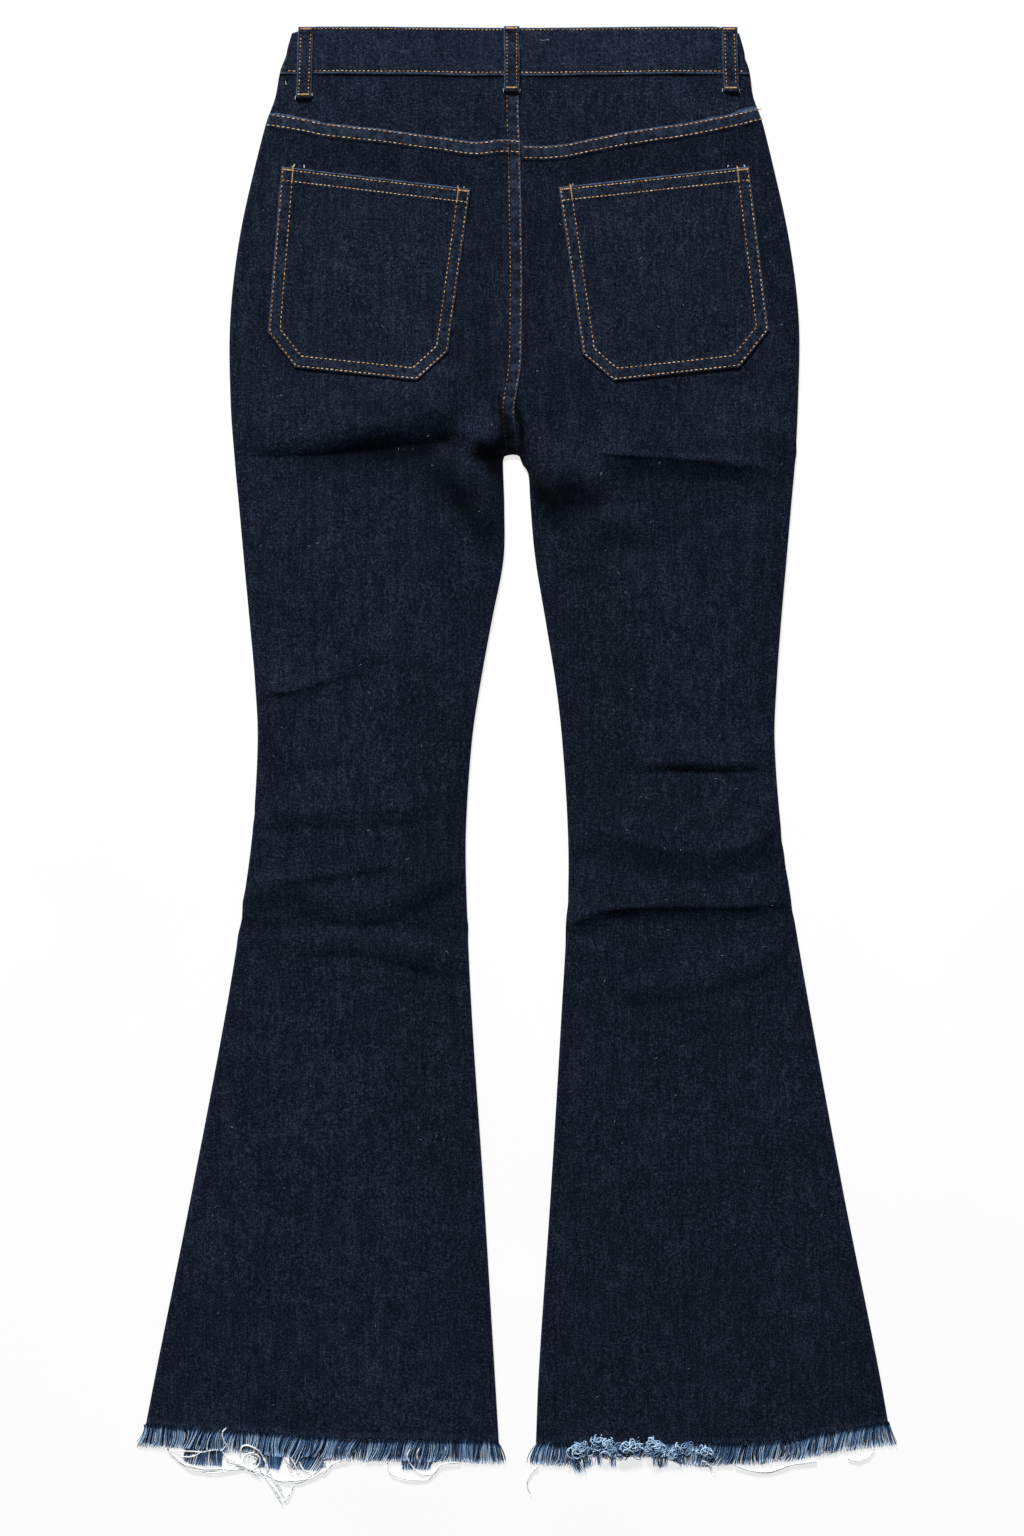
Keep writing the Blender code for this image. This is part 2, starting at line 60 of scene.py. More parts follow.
CROTCH_X = -1.5
FRINGE_LENGTH = 16.0
FRONT_HEM_DROP = 3.0  # the front hem lies this much below the back one
FRONT_LIFT = 3.4  # the loops under the waistband hold the front up by this much in its middle
SIDE_LIFT = 1.0  # and by this much at its sides
LIFT_SPAN = (42.0, 130.0)  # distances below the waist between which the front comes down to the floor
LIFT_SIDES = (95.0, 165.0)  # distances from the centre between which the lift changes
EDGE_REACH = 26.0  # the back climbs from its edge to its full height over this width
LOOP_WIDTH = 12.5

SHELL = 1.0  # wall of the modelled cloth
ROLL = 4.2  # the two layers round off to each other over this width at the outline
MEETING = 1.45  # height above the front layer's underside where the two layers meet
LAP_EDGE = 5.2  # the left back laps over the right one as far as this past the centre seam
LAP_BACK = 7.0  # on its other side the lap is this wide
LAP_UNDER = 4.0  # how far the right back runs under the lap
LAP_HEIGHT = 1.1
FOLD_EDGE = 0.9  # a folded edge rounds off over this width
YOKE_LAP = 11.0  # the legs' folded top edge laps over the yoke by this much
STITCH_PITCH = 3.75
LAP_ROWS = (-4.5, 3.8)  # the two rows of stitches of the centre lap, from the seam
YOKE_ROWS = (1.4, 9.6)  # those along the yoke, from the legs' folded edge
POCKET_TOP_ROWS = (2.5, 11.0)  # those along the pockets' top hem, from its edge
POCKET_SIDE_ROWS = (1.6, 9.6)  # those round the pockets' other sides
BAND_ROW = 2.6  # the waistband's lower row, from its edge
ROW_WIDTH = 0.8  # a row of stitches pulls the cloth down over this width,
ROW_DEPTH = 0.2  # and by this much

Outline = namedtuple("Outline", "below left_outer left_inner right_inner right_outer")
OUTLINE = (
    Outline(0, -178.4, -9.6, 11.0, 179.2),
    Outline(40, -189.0, -9.6, 11.0, 188.7),
    Outline(105, -206.3, -9.6, 11.0, 205.0),
    Outline(170, -220.5, -9.6, 11.0, 219.2),
    Outline(235, -227.8, -9.6, 11.0, 227.0),
    Outline(300, -227.5, -9.6, 11.0, 226.4),
    Outline(350, -223.9, -9.6, 11.0, 223.8),
    Outline(385, -220.6, -8.5, 12.5, 220.7),
    Outline(426, -216.9, -9.2, 16.3, 217.2),
    Outline(475, -212.3, -18.5, 24.4, 212.9),
    Outline(525, -207.9, -27.6, 32.5, 209.3),
    Outline(570, -205.8, -34.3, 37.6, 207.6),
    Outline(640, -209.6, -39.1, 42.1, 212.6),
    Outline(690, -215.8, -38.9, 42.5, 219.6),
    Outline(785, -230.8, -34.8, 37.4, 235.6),
    Outline(930, -258.1, -25.1, 28.7, 262.2),
    Outline(1075, -287.0, -16.3, 19.0, 291.1),
    Outline(1140, -299.5, -12.4, 16.4, 302.5),
)

# Small dents in the outline where a fold runs out over an edge; push moves the edge towards +x.
Dent = namedtuple("Dent", "field below push width")
DENTS = (
    Dent("left_outer", 21, 0.9, 6),
    Dent("left_outer", 57, 1.9, 13),
    Dent("right_outer", 24, -0.8, 4),
    Dent("right_outer", 56, -2.3, 13),
    Dent("left_outer", 630, 0.5, 5),
    Dent("left_outer", 699, -0.5, 5),
    Dent("left_outer", 714, 0.8, 6),
    Dent("left_outer", 727, -0.3, 5),
    Dent("left_inner", 720, 0.6, 6),
    Dent("right_inner", 700, 0.4, 6),
    Dent("right_inner", 718, -0.7, 12),
    Dent("right_outer", 650, -0.6, 6),
    Dent("right_outer", 672, -0.4, 6),
    Dent("right_outer", 706, -0.6, 6),
    Dent("right_outer", 341, 0.7, 6),
)

EdgePoint = namedtuple("EdgePoint", "x below")
YOKE_EDGE = (
    EdgePoint(-200, 69.0),
    EdgePoint(-170, 73.8),
    EdgePoint(-150, 78.0),
    EdgePoint(-120, 81.2),
    EdgePoint(-60, 88.9),
    EdgePoint(-30, 92.7),
    EdgePoint(-12, 92.3),
    EdgePoint(12, 93.8),
    EdgePoint(30, 95.6),
    EdgePoint(60, 90.6),
    EdgePoint(90, 84.6),
    EdgePoint(120, 80.5),
    EdgePoint(150, 75.4),
    EdgePoint(198, 64.3),
)
HEM_EDGE = (
    EdgePoint(-296, 1119.0),
    EdgePoint(-220, 1124.5),
    EdgePoint(-140, 1130.0),
    EdgePoint(-14, 1132.4),
    EdgePoint(17, 1134.0),
    EdgePoint(110, 1135.0),
    EdgePoint(202, 1133.0),
    EdgePoint(245, 1126.5),
    EdgePoint(299, 1117.5),
)
SeamPoint = namedtuple("SeamPoint", "below x")
BACK_SEAM = (
    SeamPoint(38, -2.0),
    SeamPoint(74, -1.8),
    SeamPoint(92, -1.1),
    SeamPoint(115, -0.5),
    SeamPoint(140, 0.0),
    SeamPoint(172, 0.5),
    SeamPoint(207, 0.9),
    SeamPoint(235, 0.5),
    SeamPoint(262, 0.2),
    SeamPoint(274, -0.6),
    SeamPoint(286, -2.4),
    SeamPoint(298, -4.3),
    SeamPoint(308, -5.2),
    SeamPoint(318, -4.6),
    SeamPoint(330, -3.4),
    SeamPoint(342, CROTCH_X),
)

# The arch of the crotch: how far below its top it has reached a share of the way to each inseam.
ArchPoint = namedtuple("ArchPoint", "drop share")
LEFT_ARCH = (
    ArchPoint(0.0, 0.0),
    ArchPoint(0.4, 0.6),
    ArchPoint(1.6, 0.9),
    ArchPoint(5.0, 1.0),
)
RIGHT_ARCH = (
    ArchPoint(0.0, 0.0),
    ArchPoint(0.4, 0.4),
    ArchPoint(1.6, 0.55),
    ArchPoint(5.0, 0.63),
    ArchPoint(8.0, 0.68),
    ArchPoint(11.0, 0.84),
    ArchPoint(14.0, 0.95),
    ArchPoint(20.0, 1.0),
)

Knot = namedtuple("Knot", "key value")
Swell = namedtuple("Swell", "below middle edge")
SWELL = (
    Swell(0, 3.6, 1.5),
    Swell(45, 3.6, 1.4),
    Swell(100, 2.4, 0.4),
    Swell(200, 2.1, 0.1),
    Swell(330, 2.0, 0.1),
    Swell(450, 1.7, 0.1),
    Swell(570, 1.5, 0.1),
    Swell(700, 1.7, 0.1),
    Swell(900, 1.5, 0.1),
    Swell(1130, 0.8, 0.1),
)

# Creases of the back. A crease follows its route, whose points give x, below and a share of its crest.
# Above the route the cloth climbs over the upper width. Below it, it falls over the lower width: with a
# positive roll it curls over into a sharp foot, and with roll 0 it drops at once and then levels out.
# The lip is a narrow extra ridge on the route. A negative crest is a valley. The fall is widen times as
# wide at the route's end as at its start.
Crease = namedtuple("Crease", "route crest upper lower roll lip widen", defaults=(1.0,))
CREASES = (
    # Seat of the left leg, and the folds round the crotch on that side.
    Crease(
        (
            (-216, 337, 0), (-200, 334, 0.35), (-185, 331.5, 0.5), (-155, 328, 0.7), (-125, 321.5, 0.95),
            (-95, 314.5, 1.2), (-80, 310.5, 1.2), (-65, 306.5, 1.0), (-54, 304, 0.7), (-42, 303, 0),
        ),
        8.0, 40, 7.5, 1.7, 0.2, 4.3,
    ),
    Crease(((-84, 283, 0), (-60, 281, 1), (-38, 278, 1), (-18, 274, 0)), 1.6, 9, 6, 0, 0.0),
    Crease(((-64, 300, 0), (-52, 313, 0.8), (-40, 325, 1), (-24, 334, 0)), 1.4, 7, 6, 2.0, 0.0),
    Crease(
        ((-44, 321, 0), (-36, 328, 0.6), (-28, 332, 1), (-20, 332, 1), (-11, 329, 0.8)),
        4.6, 15, 14, 1.2, 0.2,
    ),
    Crease(
        ((-60, 338, 0), (-47, 352, 1), (-32, 374, 1), (-19, 396, 0.9), (-8, 418, 0)),
        3.6, 13, 18, 1.6, 0.0,
    ),
    # Seat of the right leg, and the folds round the crotch on that side.
    Crease(
        (
            (58, 340, 0), (70, 341, 0.6), (82, 342, 0.9), (104, 343.5, 1), (130, 346, 1), (166, 349.5, 1),
            (190, 351.5, 0.9), (204, 354, 0.6), (226, 358, 0),
        ),
        5.6, 48, 11, 0, 1.3,
    ),
    Crease(((172, 294, 0), (190, 305, 0.8), (206, 321, 1), (222, 341, 0.6)), 1.7, 7, 13, 1.2, 0.5),
    Crease(
        (
            (4, 348, 0), (18, 354, 0.8), (34, 358, 1), (50, 358, 1), (62, 361, 0.8), (70, 368, 0.4),
            (77, 378, 0),
        ),
        4.4, 22, 25, 1.5, 0.3,
    ),
    Crease(((8, 358, 0), (16, 368, 1), (24, 379, 1), (31, 391, 0.8), (37, 404, 0)), 3.4, 9, 8, 2.0, 0.0),
    Crease(((64, 385, 0), (82, 395, 1), (102, 404, 0.8), (120, 413, 0)), 1.6, 13, 16, 1.6, 0.0),
    # Knee of the left leg.
    Crease(
        (
            (-212, 537, 0), (-198, 533, 0.9), (-182, 531, 1), (-160, 526.5, 0.8), (-136, 519, 0.5),
            (-108, 513, 0),
        ),
        1.4, 10, 3.6, 0, 0.9,
    ),
    Crease(((-150, 512, 0), (-122, 505, 1), (-92, 506, 0.8), (-62, 517, 0)), 0.7, 10, 6, 1.6, 0.0),
    Crease(
        ((-196, 587, 0), (-170, 587, 0.9), (-146, 585, 1), (-120, 578, 0.6), (-96, 576, 0)),
        0.9, 12, 8, 1.8, 0.0,
    ),
    Crease(
        ((-212, 631, 0), (-184, 629, 1), (-140, 627, 0.8), (-92, 625, 0.8), (-52, 617, 0)),
        2.1, 15, 14, 2.0, 0.5,
    ),
    Crease(
        (
            (-214, 685, 0), (-190, 683, 0.9), (-162, 680.5, 1), (-146, 679, 1), (-128, 675, 0.9),
            (-110, 672, 0.8), (-86, 674, 0.6), (-50, 671, 0),
        ),
        1.0, 12, 5.5, 1.6, 0.5,
    ),
    Crease(
        (
            (-222, 702, 0.5), (-204, 695, 0.8), (-188, 691, 0.6), (-170, 695, 0.7), (-148, 702, 1),
            (-122, 705, 1), (-94, 699, 1), (-66, 685, 1), (-48, 675, 0.8), (-36, 670, 0.4),
        ),
        2.7, 15, 15, 1.5, 0.0,
    ),
    Crease(
        (
            (-226, 721, 0.5), (-196, 721, 0.8), (-160, 721, 0.7), (-120, 722, 0.8), (-84, 723, 0.7),
            (-44, 725, 0.3),
        ),
        -1.6, 6, 9, 1.5, 0.0,
    ),
    Crease(
        ((-196, 729, 0), (-162, 729, 0.9), (-124, 729, 1), (-94, 737, 1), (-66, 743, 1), (-40, 749, 0.4)),
        2.7, 11, 15, 1.5, 0.0,
    ),
    Crease(((-188, 537, 0), (-184, 556, 1), (-188, 579, 1), (-194, 597, 0)), 0.7, 9, 5, 1.6, 0.0),
    # Knee of the right leg.
    Crease(
        (
            (72, 588, 0), (96, 588.5, 0.4), (118, 589, 0.9), (146, 589, 1), (168, 588.5, 1), (186, 588, 0.6),
            (210, 587, 0.3),
        ),
        3.2, 18, 7.5, 1.6, 0.25,
    ),
    Crease(
        (
            (48, 636, 0), (64, 641, 0.4), (80, 647.5, 0.75), (98, 653, 1), (120, 657.5, 1), (146, 659.5, 1),
            (172, 658, 1), (192, 652, 1), (206, 646, 1), (222, 638, 0.7),
        ),
        4.4, 24, 23, 1.15, 0.4,
    ),
    Crease(((180, 631, 0), (194, 636, 1), (204, 643, 1), (212, 651, 0)), 1.2, 6, 4, 0, 0.0),
    Crease(
        (
            (38, 718, 0.8), (50, 714.5, 0.9), (62, 709.5, 0.9), (76, 705, 1), (100, 703, 1), (140, 703.5, 1),
            (176, 704, 1), (196, 702, 0.8), (222, 699, 0.4),
        ),
        4.9, 26, 8.0, 0, 1.1,
    ),
    Crease(
        ((70, 686, 0), (96, 687, 0.8), (128, 687, 1), (160, 687, 1), (196, 682, 0)),
        -0.6, 7, 7, 1.5, 0.0,
    ),
    Crease(
        (
            (66, 767, 0), (94, 768, 0.7), (124, 766, 1), (150, 761, 1), (174, 754, 1), (194, 744, 0.9),
            (214, 732, 0),
        ),
        2.4, 16, 15, 1.7, 0.0,
    ),
    Crease(((40, 741, 0.5), (60, 739, 1), (84, 745, 0)), 0.9, 9, 6, 1.6, 0.0),
    # Long soft swells of the calves.
    Crease(((-160, 806, 0), (-110, 798, 1), (-60, 794, 0)), 0.5, 20, 18, 1.5, 0.0),
    Crease(((-268, 1004, 0), (-210, 992, 1), (-140, 984, 0)), 0.5, 26, 22, 1.5, 0.0),
    Crease(((110, 924, 0), (180, 912, 1), (250, 904, 0)), 0.5, 26, 22, 1.5, 0.0),
)

# Painted shade where the folds, grooves and crotch are: as a crease's route, but its share is of how much
# darker the colour is painted.
Stroke = namedtuple("Stroke", "route depth upper lower")
PAINTED_SHADE_STROKES = (
    # The grooves beside the end of the centre lap, and the end of the lap itself.
    Stroke(((5.0, 312, 0), (5.4, 320, 1), (5.6, 332, 1), (5.4, 345, 1)), 0.9, 2.2, 2.0),
    Stroke(((-14, 334, 0.4), (-9, 337, 1), (0, 339, 1), (6, 340, 0.8)), 0.8, 5, 8),
    Stroke(
        ((-12.8, 290, 0), (-12.4, 297, 0.9), (-12, 306, 1), (-10.6, 313, 1), (-9.6, 320, 1)),
        0.97, 1.9, 1.9,
    ),
    Stroke(((-9.6, 318, 0.9), (-10.6, 326, 1), (-11.4, 336, 1), (-11.4, 348, 1)), 0.97, 2.6, 3.6),
    Stroke(
        ((1.4, 297, 0), (2.6, 304, 0.9), (3.4, 312, 1), (4.4, 320, 1), (4.8, 330, 1), (4.2, 347, 1)),
        1.0, 2.8, 2.4,
    ),
    Stroke(((-6, 303, 0), (-7, 311, 0.8), (-6.5, 319, 0.95), (-5, 328, 1), (-3.5, 347, 1)), 0.96, 4.4, 4.4),
    Stroke(((-1.5, 317, 0), (-1.2, 324, 0.7), (-0.6, 331, 0.95), (-0.6, 347, 1)), 0.92, 4.2, 4.2),
    # Under the folds round the crotch.
    Stroke(((-36, 335, 0), (-30, 338, 0.85), (-24, 341, 1), (-18, 344, 1), (-9, 347, 1)), 0.95, 6, 6.5),
    Stroke(((-27, 342, 0), (-21, 347, 0.95), (-15, 350, 1), (-8, 352, 1)), 0.95, 7, 8),
    Stroke(
        (
            (-70, 350, 0), (-60, 359, 0.9), (-52, 367, 1), (-44, 378, 1), (-36, 388, 1), (-28, 400, 1),
            (-16, 418, 0),
        ),
        0.5, 9, 9,
    ),
    Stroke(
        ((-96, 350, 0), (-74, 350, 0.8), (-52, 357, 1), (-40, 366, 1), (-28, 378, 1), (-16, 390, 1)),
        0.38, 24, 28,
    ),
    Stroke(
        (
            (8, 350, 0.3), (14, 358, 0.6), (20, 369, 0.9), (26, 378, 1), (32, 385, 1), (38, 384, 0.6),
            (44, 380, 0),
        ),
        0.97, 5.5, 6.5,
    ),
    Stroke(
        ((30, 367, 0.3), (37, 368, 1), (46, 370, 1), (57, 372, 0.9), (65, 376, 0.6), (72, 381, 0)),
        0.72, 7.5, 10,
    ),
    Stroke(((62, 426, 0), (69, 413, 1), (79, 406, 1), (92, 409, 0.7), (104, 414, 0)), 0.5, 10, 10),
    Stroke(((-25, 338, 0.4), (-19, 346, 1), (-13, 355, 1), (-8, 366, 0.5)), 0.93, 5.5, 6.5),
    Stroke(((-14, 362, 0.6), (-14, 376, 0.8), (-14, 392, 0.4), (-14, 410, 0)), 0.4, 12, 12),
    Stroke(((-60, 360, 0), (-46, 376, 1), (-34, 392, 1), (-16, 424, 0.4)), 0.4, 9, 10),
    Stroke(((20, 364, 0.4), (30, 379, 1), (38, 390, 0.6)), 0.7, 8, 10),
    Stroke(((34, 374, 0.4), (46, 378, 1), (60, 383, 0.9), (72, 388, 0)), 0.5, 9, 12),
    # Seats of both legs.
    Stroke(
        ((-168, 343, 0), (-140, 342, 0.9), (-122, 341, 1), (-94, 339, 1), (-74, 337, 1), (-60, 332, 0.5)),
        0.72, 4.5, 7.5,
    ),
    Stroke(((-150, 300, 0), (-128, 301, 1), (-100, 303, 0.8), (-84, 306, 0)), 0.25, 9, 9),
    Stroke(((-56, 244, 0), (-42, 256, 1), (-30, 268, 1), (-22, 286, 0)), 0.28, 12, 14),
    Stroke(
        (
            (-196, 342, 0.3), (-160, 344, 0.9), (-128, 343, 1), (-94, 342, 1), (-70, 337, 0.9),
            (-52, 326, 0.6), (-42, 318, 0),
        ),
        0.55, 6, 10,
    ),
    Stroke(((-78, 318, 0), (-66, 316, 0.9), (-56, 313, 1), (-46, 313, 0.5), (-38, 314, 0)), 0.45, 6, 9),
    Stroke(((-216, 312, 0), (-210, 322, 1), (-204, 333, 0)), 0.25, 6, 6),
    Stroke(((74, 348, 0), (92, 351, 0.8), (130, 355, 0.9), (170, 358, 0.7), (206, 362, 0)), 0.4, 6, 9),
    Stroke(((184, 318, 0), (200, 331, 1), (212, 342, 0.6)), 0.3, 6, 9),
    # Knees.
    Stroke(((-94, 752, 0), (-79, 753, 0.8), (-66, 757, 1), (-54, 765, 0)), 0.45, 5, 6),
    Stroke(((-90, 702, 0), (-78, 705, 1), (-64, 695, 0.9), (-54, 684, 0)), 0.3, 7, 7),
    Stroke(
        (
            (56, 652, 0), (76, 655, 0.9), (100, 661, 1), (126, 669, 1), (152, 671, 1), (180, 667, 1),
            (200, 658, 1), (214, 650, 0),
        ),
        0.38, 7, 8,
    ),
    Stroke(
        ((-222, 700, 0.6), (-202, 693, 1), (-184, 692, 0.9), (-165, 699, 0.6), (-150, 704, 0)),
        0.3, 7, 7,
    ),
    Stroke(((60, 700, 0.5), (90, 701, 1), (130, 701, 1), (180, 701, 1), (214, 698, 0.5)), 0.3, 13, 9),
    Stroke(((44, 720, 1), (58, 718, 0.8), (72, 716, 0.5), (84, 715, 0)), 0.4, 5, 7),
    Stroke(((74, 628, 0), (110, 631, 0.8), (170, 632, 1), (208, 630, 0.8)), 0.2, 20, 16),
    Stroke(((-210, 690, 0.6), (-150, 700, 1), (-100, 704, 1), (-50, 700, 0.8)), 0.22, 56, 70),
    # Broad shade along the inseams.
    Stroke(
        (
            (-34, 400, 0), (-46, 450, 0.5), (-54, 520, 0.5), (-58, 600, 1), (-62, 680, 0.9), (-60, 760, 1),
            (-58, 850, 0.8), (-52, 950, 0.4), (-50, 1040, 0),
        ),
        0.26, 32, 40,
    ),
    Stroke(
        (
            (30, 360, 0.6), (44, 400, 1), (62, 440, 1), (74, 500, 0.8), (78, 560, 0.7), (78, 640, 0.8),
            (84, 720, 0),
        ),
        0.2, 26, 26,
    ),
)
# painted shade: the right leg is painted darker to stand for the light falling off across the garment
RIGHT_LEG_PAINTED_SHADE = 0.1  # the whole right leg is darker by this share

LEFT_POCKET = (
    EdgePoint(-186.7, 112.3),
    EdgePoint(-35.3, 130.2),
    EdgePoint(-53.4, 260.5),
    EdgePoint(-78.2, 283.7),
    EdgePoint(-175.8, 273.1),
    EdgePoint(-197.4, 245.4),
)
RIGHT_POCKET = (
    EdgePoint(34.7, 128.8),
    EdgePoint(187.1, 112.2),
    EdgePoint(202.9, 243.4),
    EdgePoint(179.7, 272.7),
    EdgePoint(78.6, 283.8),
    EdgePoint(54.3, 262.7),
)

SIDES = (("left", -1, LEFT_POCKET), ("right", 1, RIGHT_POCKET))

# above is where a loop starts below the waistband's top, and below is where it ends.
Loop = namedtuple("Loop", "name x_top x_bottom above below on_back")
LOOPS = (
    Loop("loop_left", -166.8, -168.8, 0.9, 58.0, True),
    Loop("loop_centre", -2.5, -2.5, 0.9, 53.0, True),
    Loop("loop_right", 171.2, 172.7, 0.9, 52.6, True),
    Loop("loop_front_left", -84.0, -84.0, 0.5, 50.0, False),
    Loop("loop_front_right", 84.0, 84.0, 0.5, 50.0, False),
)


# ---------------------------------------------------------------- the garment as functions


def ramp(value, start, end):
    """0 before start, 1 after end, and smooth between them."""
    share = np.clip((np.asarray(value, float) - start) / (end - start), 0.0, 1.0)
    return share * share * (3 - 2 * share)


def bell(off, width):
    """A smooth bump: 1 at 0, and next to nothing from twice the width on."""
    return np.exp(-((off / width) ** 2))


def along(rows, key, field, at):
    """A smooth curve through one column of a table, read at values of its key column."""
    keys = np.array([getattr(row, key) for row in rows], float)
    values = np.array([getattr(row, field) for row in rows], float)
    last = len(keys) - 1
    before = np.maximum(np.arange(len(keys)) - 1, 0)
    after = np.minimum(np.arange(len(keys)) + 1, last)
    slopes = (values[after] - values[before]) / (keys[after] - keys[before])
    at = np.clip(np.asarray(at, float), keys[0], keys[-1])
    i = np.clip(np.searchsorted(keys, at, side="left") - 1, 0, last - 1)
    span = keys[i + 1] - keys[i]
    t = (at - keys[i]) / span
    curve = (2 * t**3 - 3 * t**2 + 1) * values[i] + (3 * t**2 - 2 * t**3) * values[i + 1]
    return curve + span * ((t**3 - 2 * t**2 + t) * slopes[i] + (t**3 - t**2) * slopes[i + 1])


def through(points, count):
    """A smooth line through given points."""
    points = np.array(points, float)
    at = np.linspace(0, len(points) - 1, count)
    columns = []
    for column in range(points.shape[1]):
        rows = [Knot(key, value) for key, value in enumerate(points[:, column])]
        columns.append(along(rows, "key", "value", at))
    return np.stack(columns, 1)


def ripple(x, below, wave, seed, count=7):
    """Smooth unevenness between about -1 and 1: waves of one length in several directions."""
    draw = np.random.default_rng(seed)
    total = np.zeros(np.broadcast(x, below).shape)
    for _ in range(count):
        angle = draw.uniform(0, math.pi)
        length = wave * draw.uniform(0.7, 1.5)
        phase = draw.uniform(0, math.tau)
        total = total + np.sin(math.tau * (x * math.cos(angle) + below * math.sin(angle)) / length + phase)
    return total / math.sqrt(count * 2)


# Unevenness of the cloth: its height, the length of its waves, how much of it runs lengthwise, and its seed.
Wave = namedtuple("Wave", "height length lengthwise seed")
BROAD_WAVE = Wave(0.32, 95.0, 1.0, 3)
SHORT_WAVE = Wave(0.13, 34.0, 0.55, 5)
HEM_WAVE = Wave(0.85, 88.0, 0.2, 11)
YOKE_LAP_WAVE = Wave(0.12, 9.0, 0.3, 17)
YOKE_EDGE_WAVE = Wave(0.3, 29.0, 0.0, 19)
YOKE_WAVE = Wave(0.16, 24.0, 1.0, 23)
POCKET_WAVE = Wave(0.1, 17.0, 1.0, 37)
BAND_PUCKER = Wave(0.07, 7.0, 0.4, 41)
BAND_WAVE = Wave(0.14, 26.0, 1.0, 43)
LOOP_WAVE = Wave(0.05, 5.0, 1.0, 51)


def waves(wave, x, below):
    return wave.height * ripple(x, below * wave.lengthwise, wave.length, wave.seed)


def outline(field, below):
    edge = along(OUTLINE, "below", field, below)
    for dent in DENTS:
        if dent.field == field:
            edge = edge + dent.push * bell(below - dent.below, dent.width)
    return edge


def seam(below):
    return along(BACK_SEAM, "below", "x", below)


def outer_edge(side, below):
    return outline("right_outer" if side > 0 else "left_outer", below)


def inner_edge(side, below):
    return outline("right_inner" if side > 0 else "left_inner", below)


def arch(side, below, start):
    """The inner edge of a leg below the crotch: an arch from start, then the inseam."""
    points = RIGHT_ARCH if side > 0 else LEFT_ARCH
    drop = np.asarray(below, float) - CROTCH_BELOW
    share = np.interp(drop, [point.drop for point in points], [point.share for point in points])
    return start + (inner_edge(side, below) - start) * share


def back_inner(side, below):
    """Inner edge of a back leg: the left one laps over the right one at the centre seam."""
    reach = LAP_EDGE if side < 0 else -LAP_UNDER
    start = seam(below) + reach
    return np.where(below <= CROTCH_BELOW, start, arch(side, below, CROTCH_X + reach))


def front_inner(side, below):
    start = CROTCH_X + side * 0.1
    return np.where(below <= CROTCH_BELOW, start, arch(side, below, start))


def outline_distance(side, x, below, inner):
    """How far a point of one leg lies inside the silhouette."""
    outer = side * (outer_edge(side, below) - x)
    crotch = CROTCH_BELOW + 40.0 * np.linspace(0, 1, 60) ** 2
    crotch_x = inner(side, crotch + 1e-6)
    near = np.full(np.shape(x), 1e3)
    close = np.abs(below - CROTCH_BELOW) < 36.0
    if np.any(close):
        gap_x = x[close][:, None] - crotch_x[None, :]
        gap_below = below[close][:, None] - crotch[None, :]
        near[close] = np.sqrt(gap_x**2 + gap_below**2).min(axis=1)
    inside = np.where(below > CROTCH_BELOW, side * (x - inner(side, below)), 1e3)
    return np.maximum(np.minimum(outer, np.minimum(inside, near)), 0.0)


def quarter(distance, reach):
    """A quarter circle: 0 at the edge, 1 from reach on."""
    return np.sqrt(np.maximum(1 - (1 - np.clip(distance / reach, 0, 1)) ** 2, 0))


def front_low(x, below):
    middle = FRONT_LIFT + (SIDE_LIFT - FRONT_LIFT) * ramp(np.abs(x), *LIFT_SIDES)
    return middle * (1 - ramp(below, *LIFT_SPAN))


LIP_UPPER = 4.0  # a lip's width above its crease's route, and below it
LIP_LOWER = 2.0


def crease_profile(crease, off, wider):
    """Height of a crease at a signed distance from the route, with the lip; wider stretches its fall."""
    past = np.maximum(off, 0.0)
    lower = crease.lower * wider
    if crease.crest < 0:
        fall = bell(past, lower)
    elif crease.roll > 0:
        fall = np.maximum(1 - (past / lower) ** crease.roll, 0.0)
    else:
        fall = 0.58 * bell(past, lower) + 0.42 * np.exp(-past / (3.0 * lower))
    lip = np.where(off < 0, bell(off, LIP_UPPER), bell(past, LIP_LOWER))
    return crease.crest * np.where(off < 0, bell(off, crease.upper), fall) + crease.lip * lip


ROUTE_STEP = 1.5
END_FADE = 8.0  # a route that does not start or end at 0 fades over this length


def beside(points, number, x, below, margin):
    """Which points lie near a route, how far past it each is, and the route's share and progress there."""
    corners = np.array(points, float)
    low, high = corners.min(axis=0) - margin, corners.max(axis=0) + margin
    near = (x > low[0]) & (x < high[0]) & (below > low[1]) & (below < high[1])
    length = np.linalg.norm(np.diff(corners[:, :2], axis=0), axis=1).sum()
    count = int(length / ROUTE_STEP) + 2
    route = through(points, count)
    travel = np.linspace(0, 1, count)
    route[:, 1] += 0.8 * np.sin(travel * 11.0 + number) * np.sin(math.pi * travel)
    route[:, 2] *= 0.88 + 0.12 * np.sin(travel * 17.0 + 2 * number)
    tangent = np.gradient(route[:, :2], axis=0)
    spacing = np.linalg.norm(tangent, axis=1)
    tangent /= spacing[:, None]
    to_x = x[near][:, None] - route[None, :, 0]
    to_below = below[near][:, None] - route[None, :, 1]
    closest = (to_x**2 + to_below**2).argmin(axis=1)
    row = np.arange(len(closest))
    to_x, to_below = to_x[row, closest], to_below[row, closest]
    ahead = tangent[closest]
    off = ahead[:, 0] * to_below - ahead[:, 1] * to_x
    step = (ahead[:, 0] * to_x + ahead[:, 1] * to_below) / spacing[closest]
    share = np.interp(closest + step, np.arange(count), route[:, 2], left=0.0, right=0.0)
    past_end = ((closest == 0) & (step < 0)) | ((closest == count - 1) & (step > 0))
    share = np.where(past_end, route[closest, 2] * bell(step * spacing[closest], END_FADE), share)
    return near, off, share, np.clip((closest + step) / (count - 1), 0, 1)


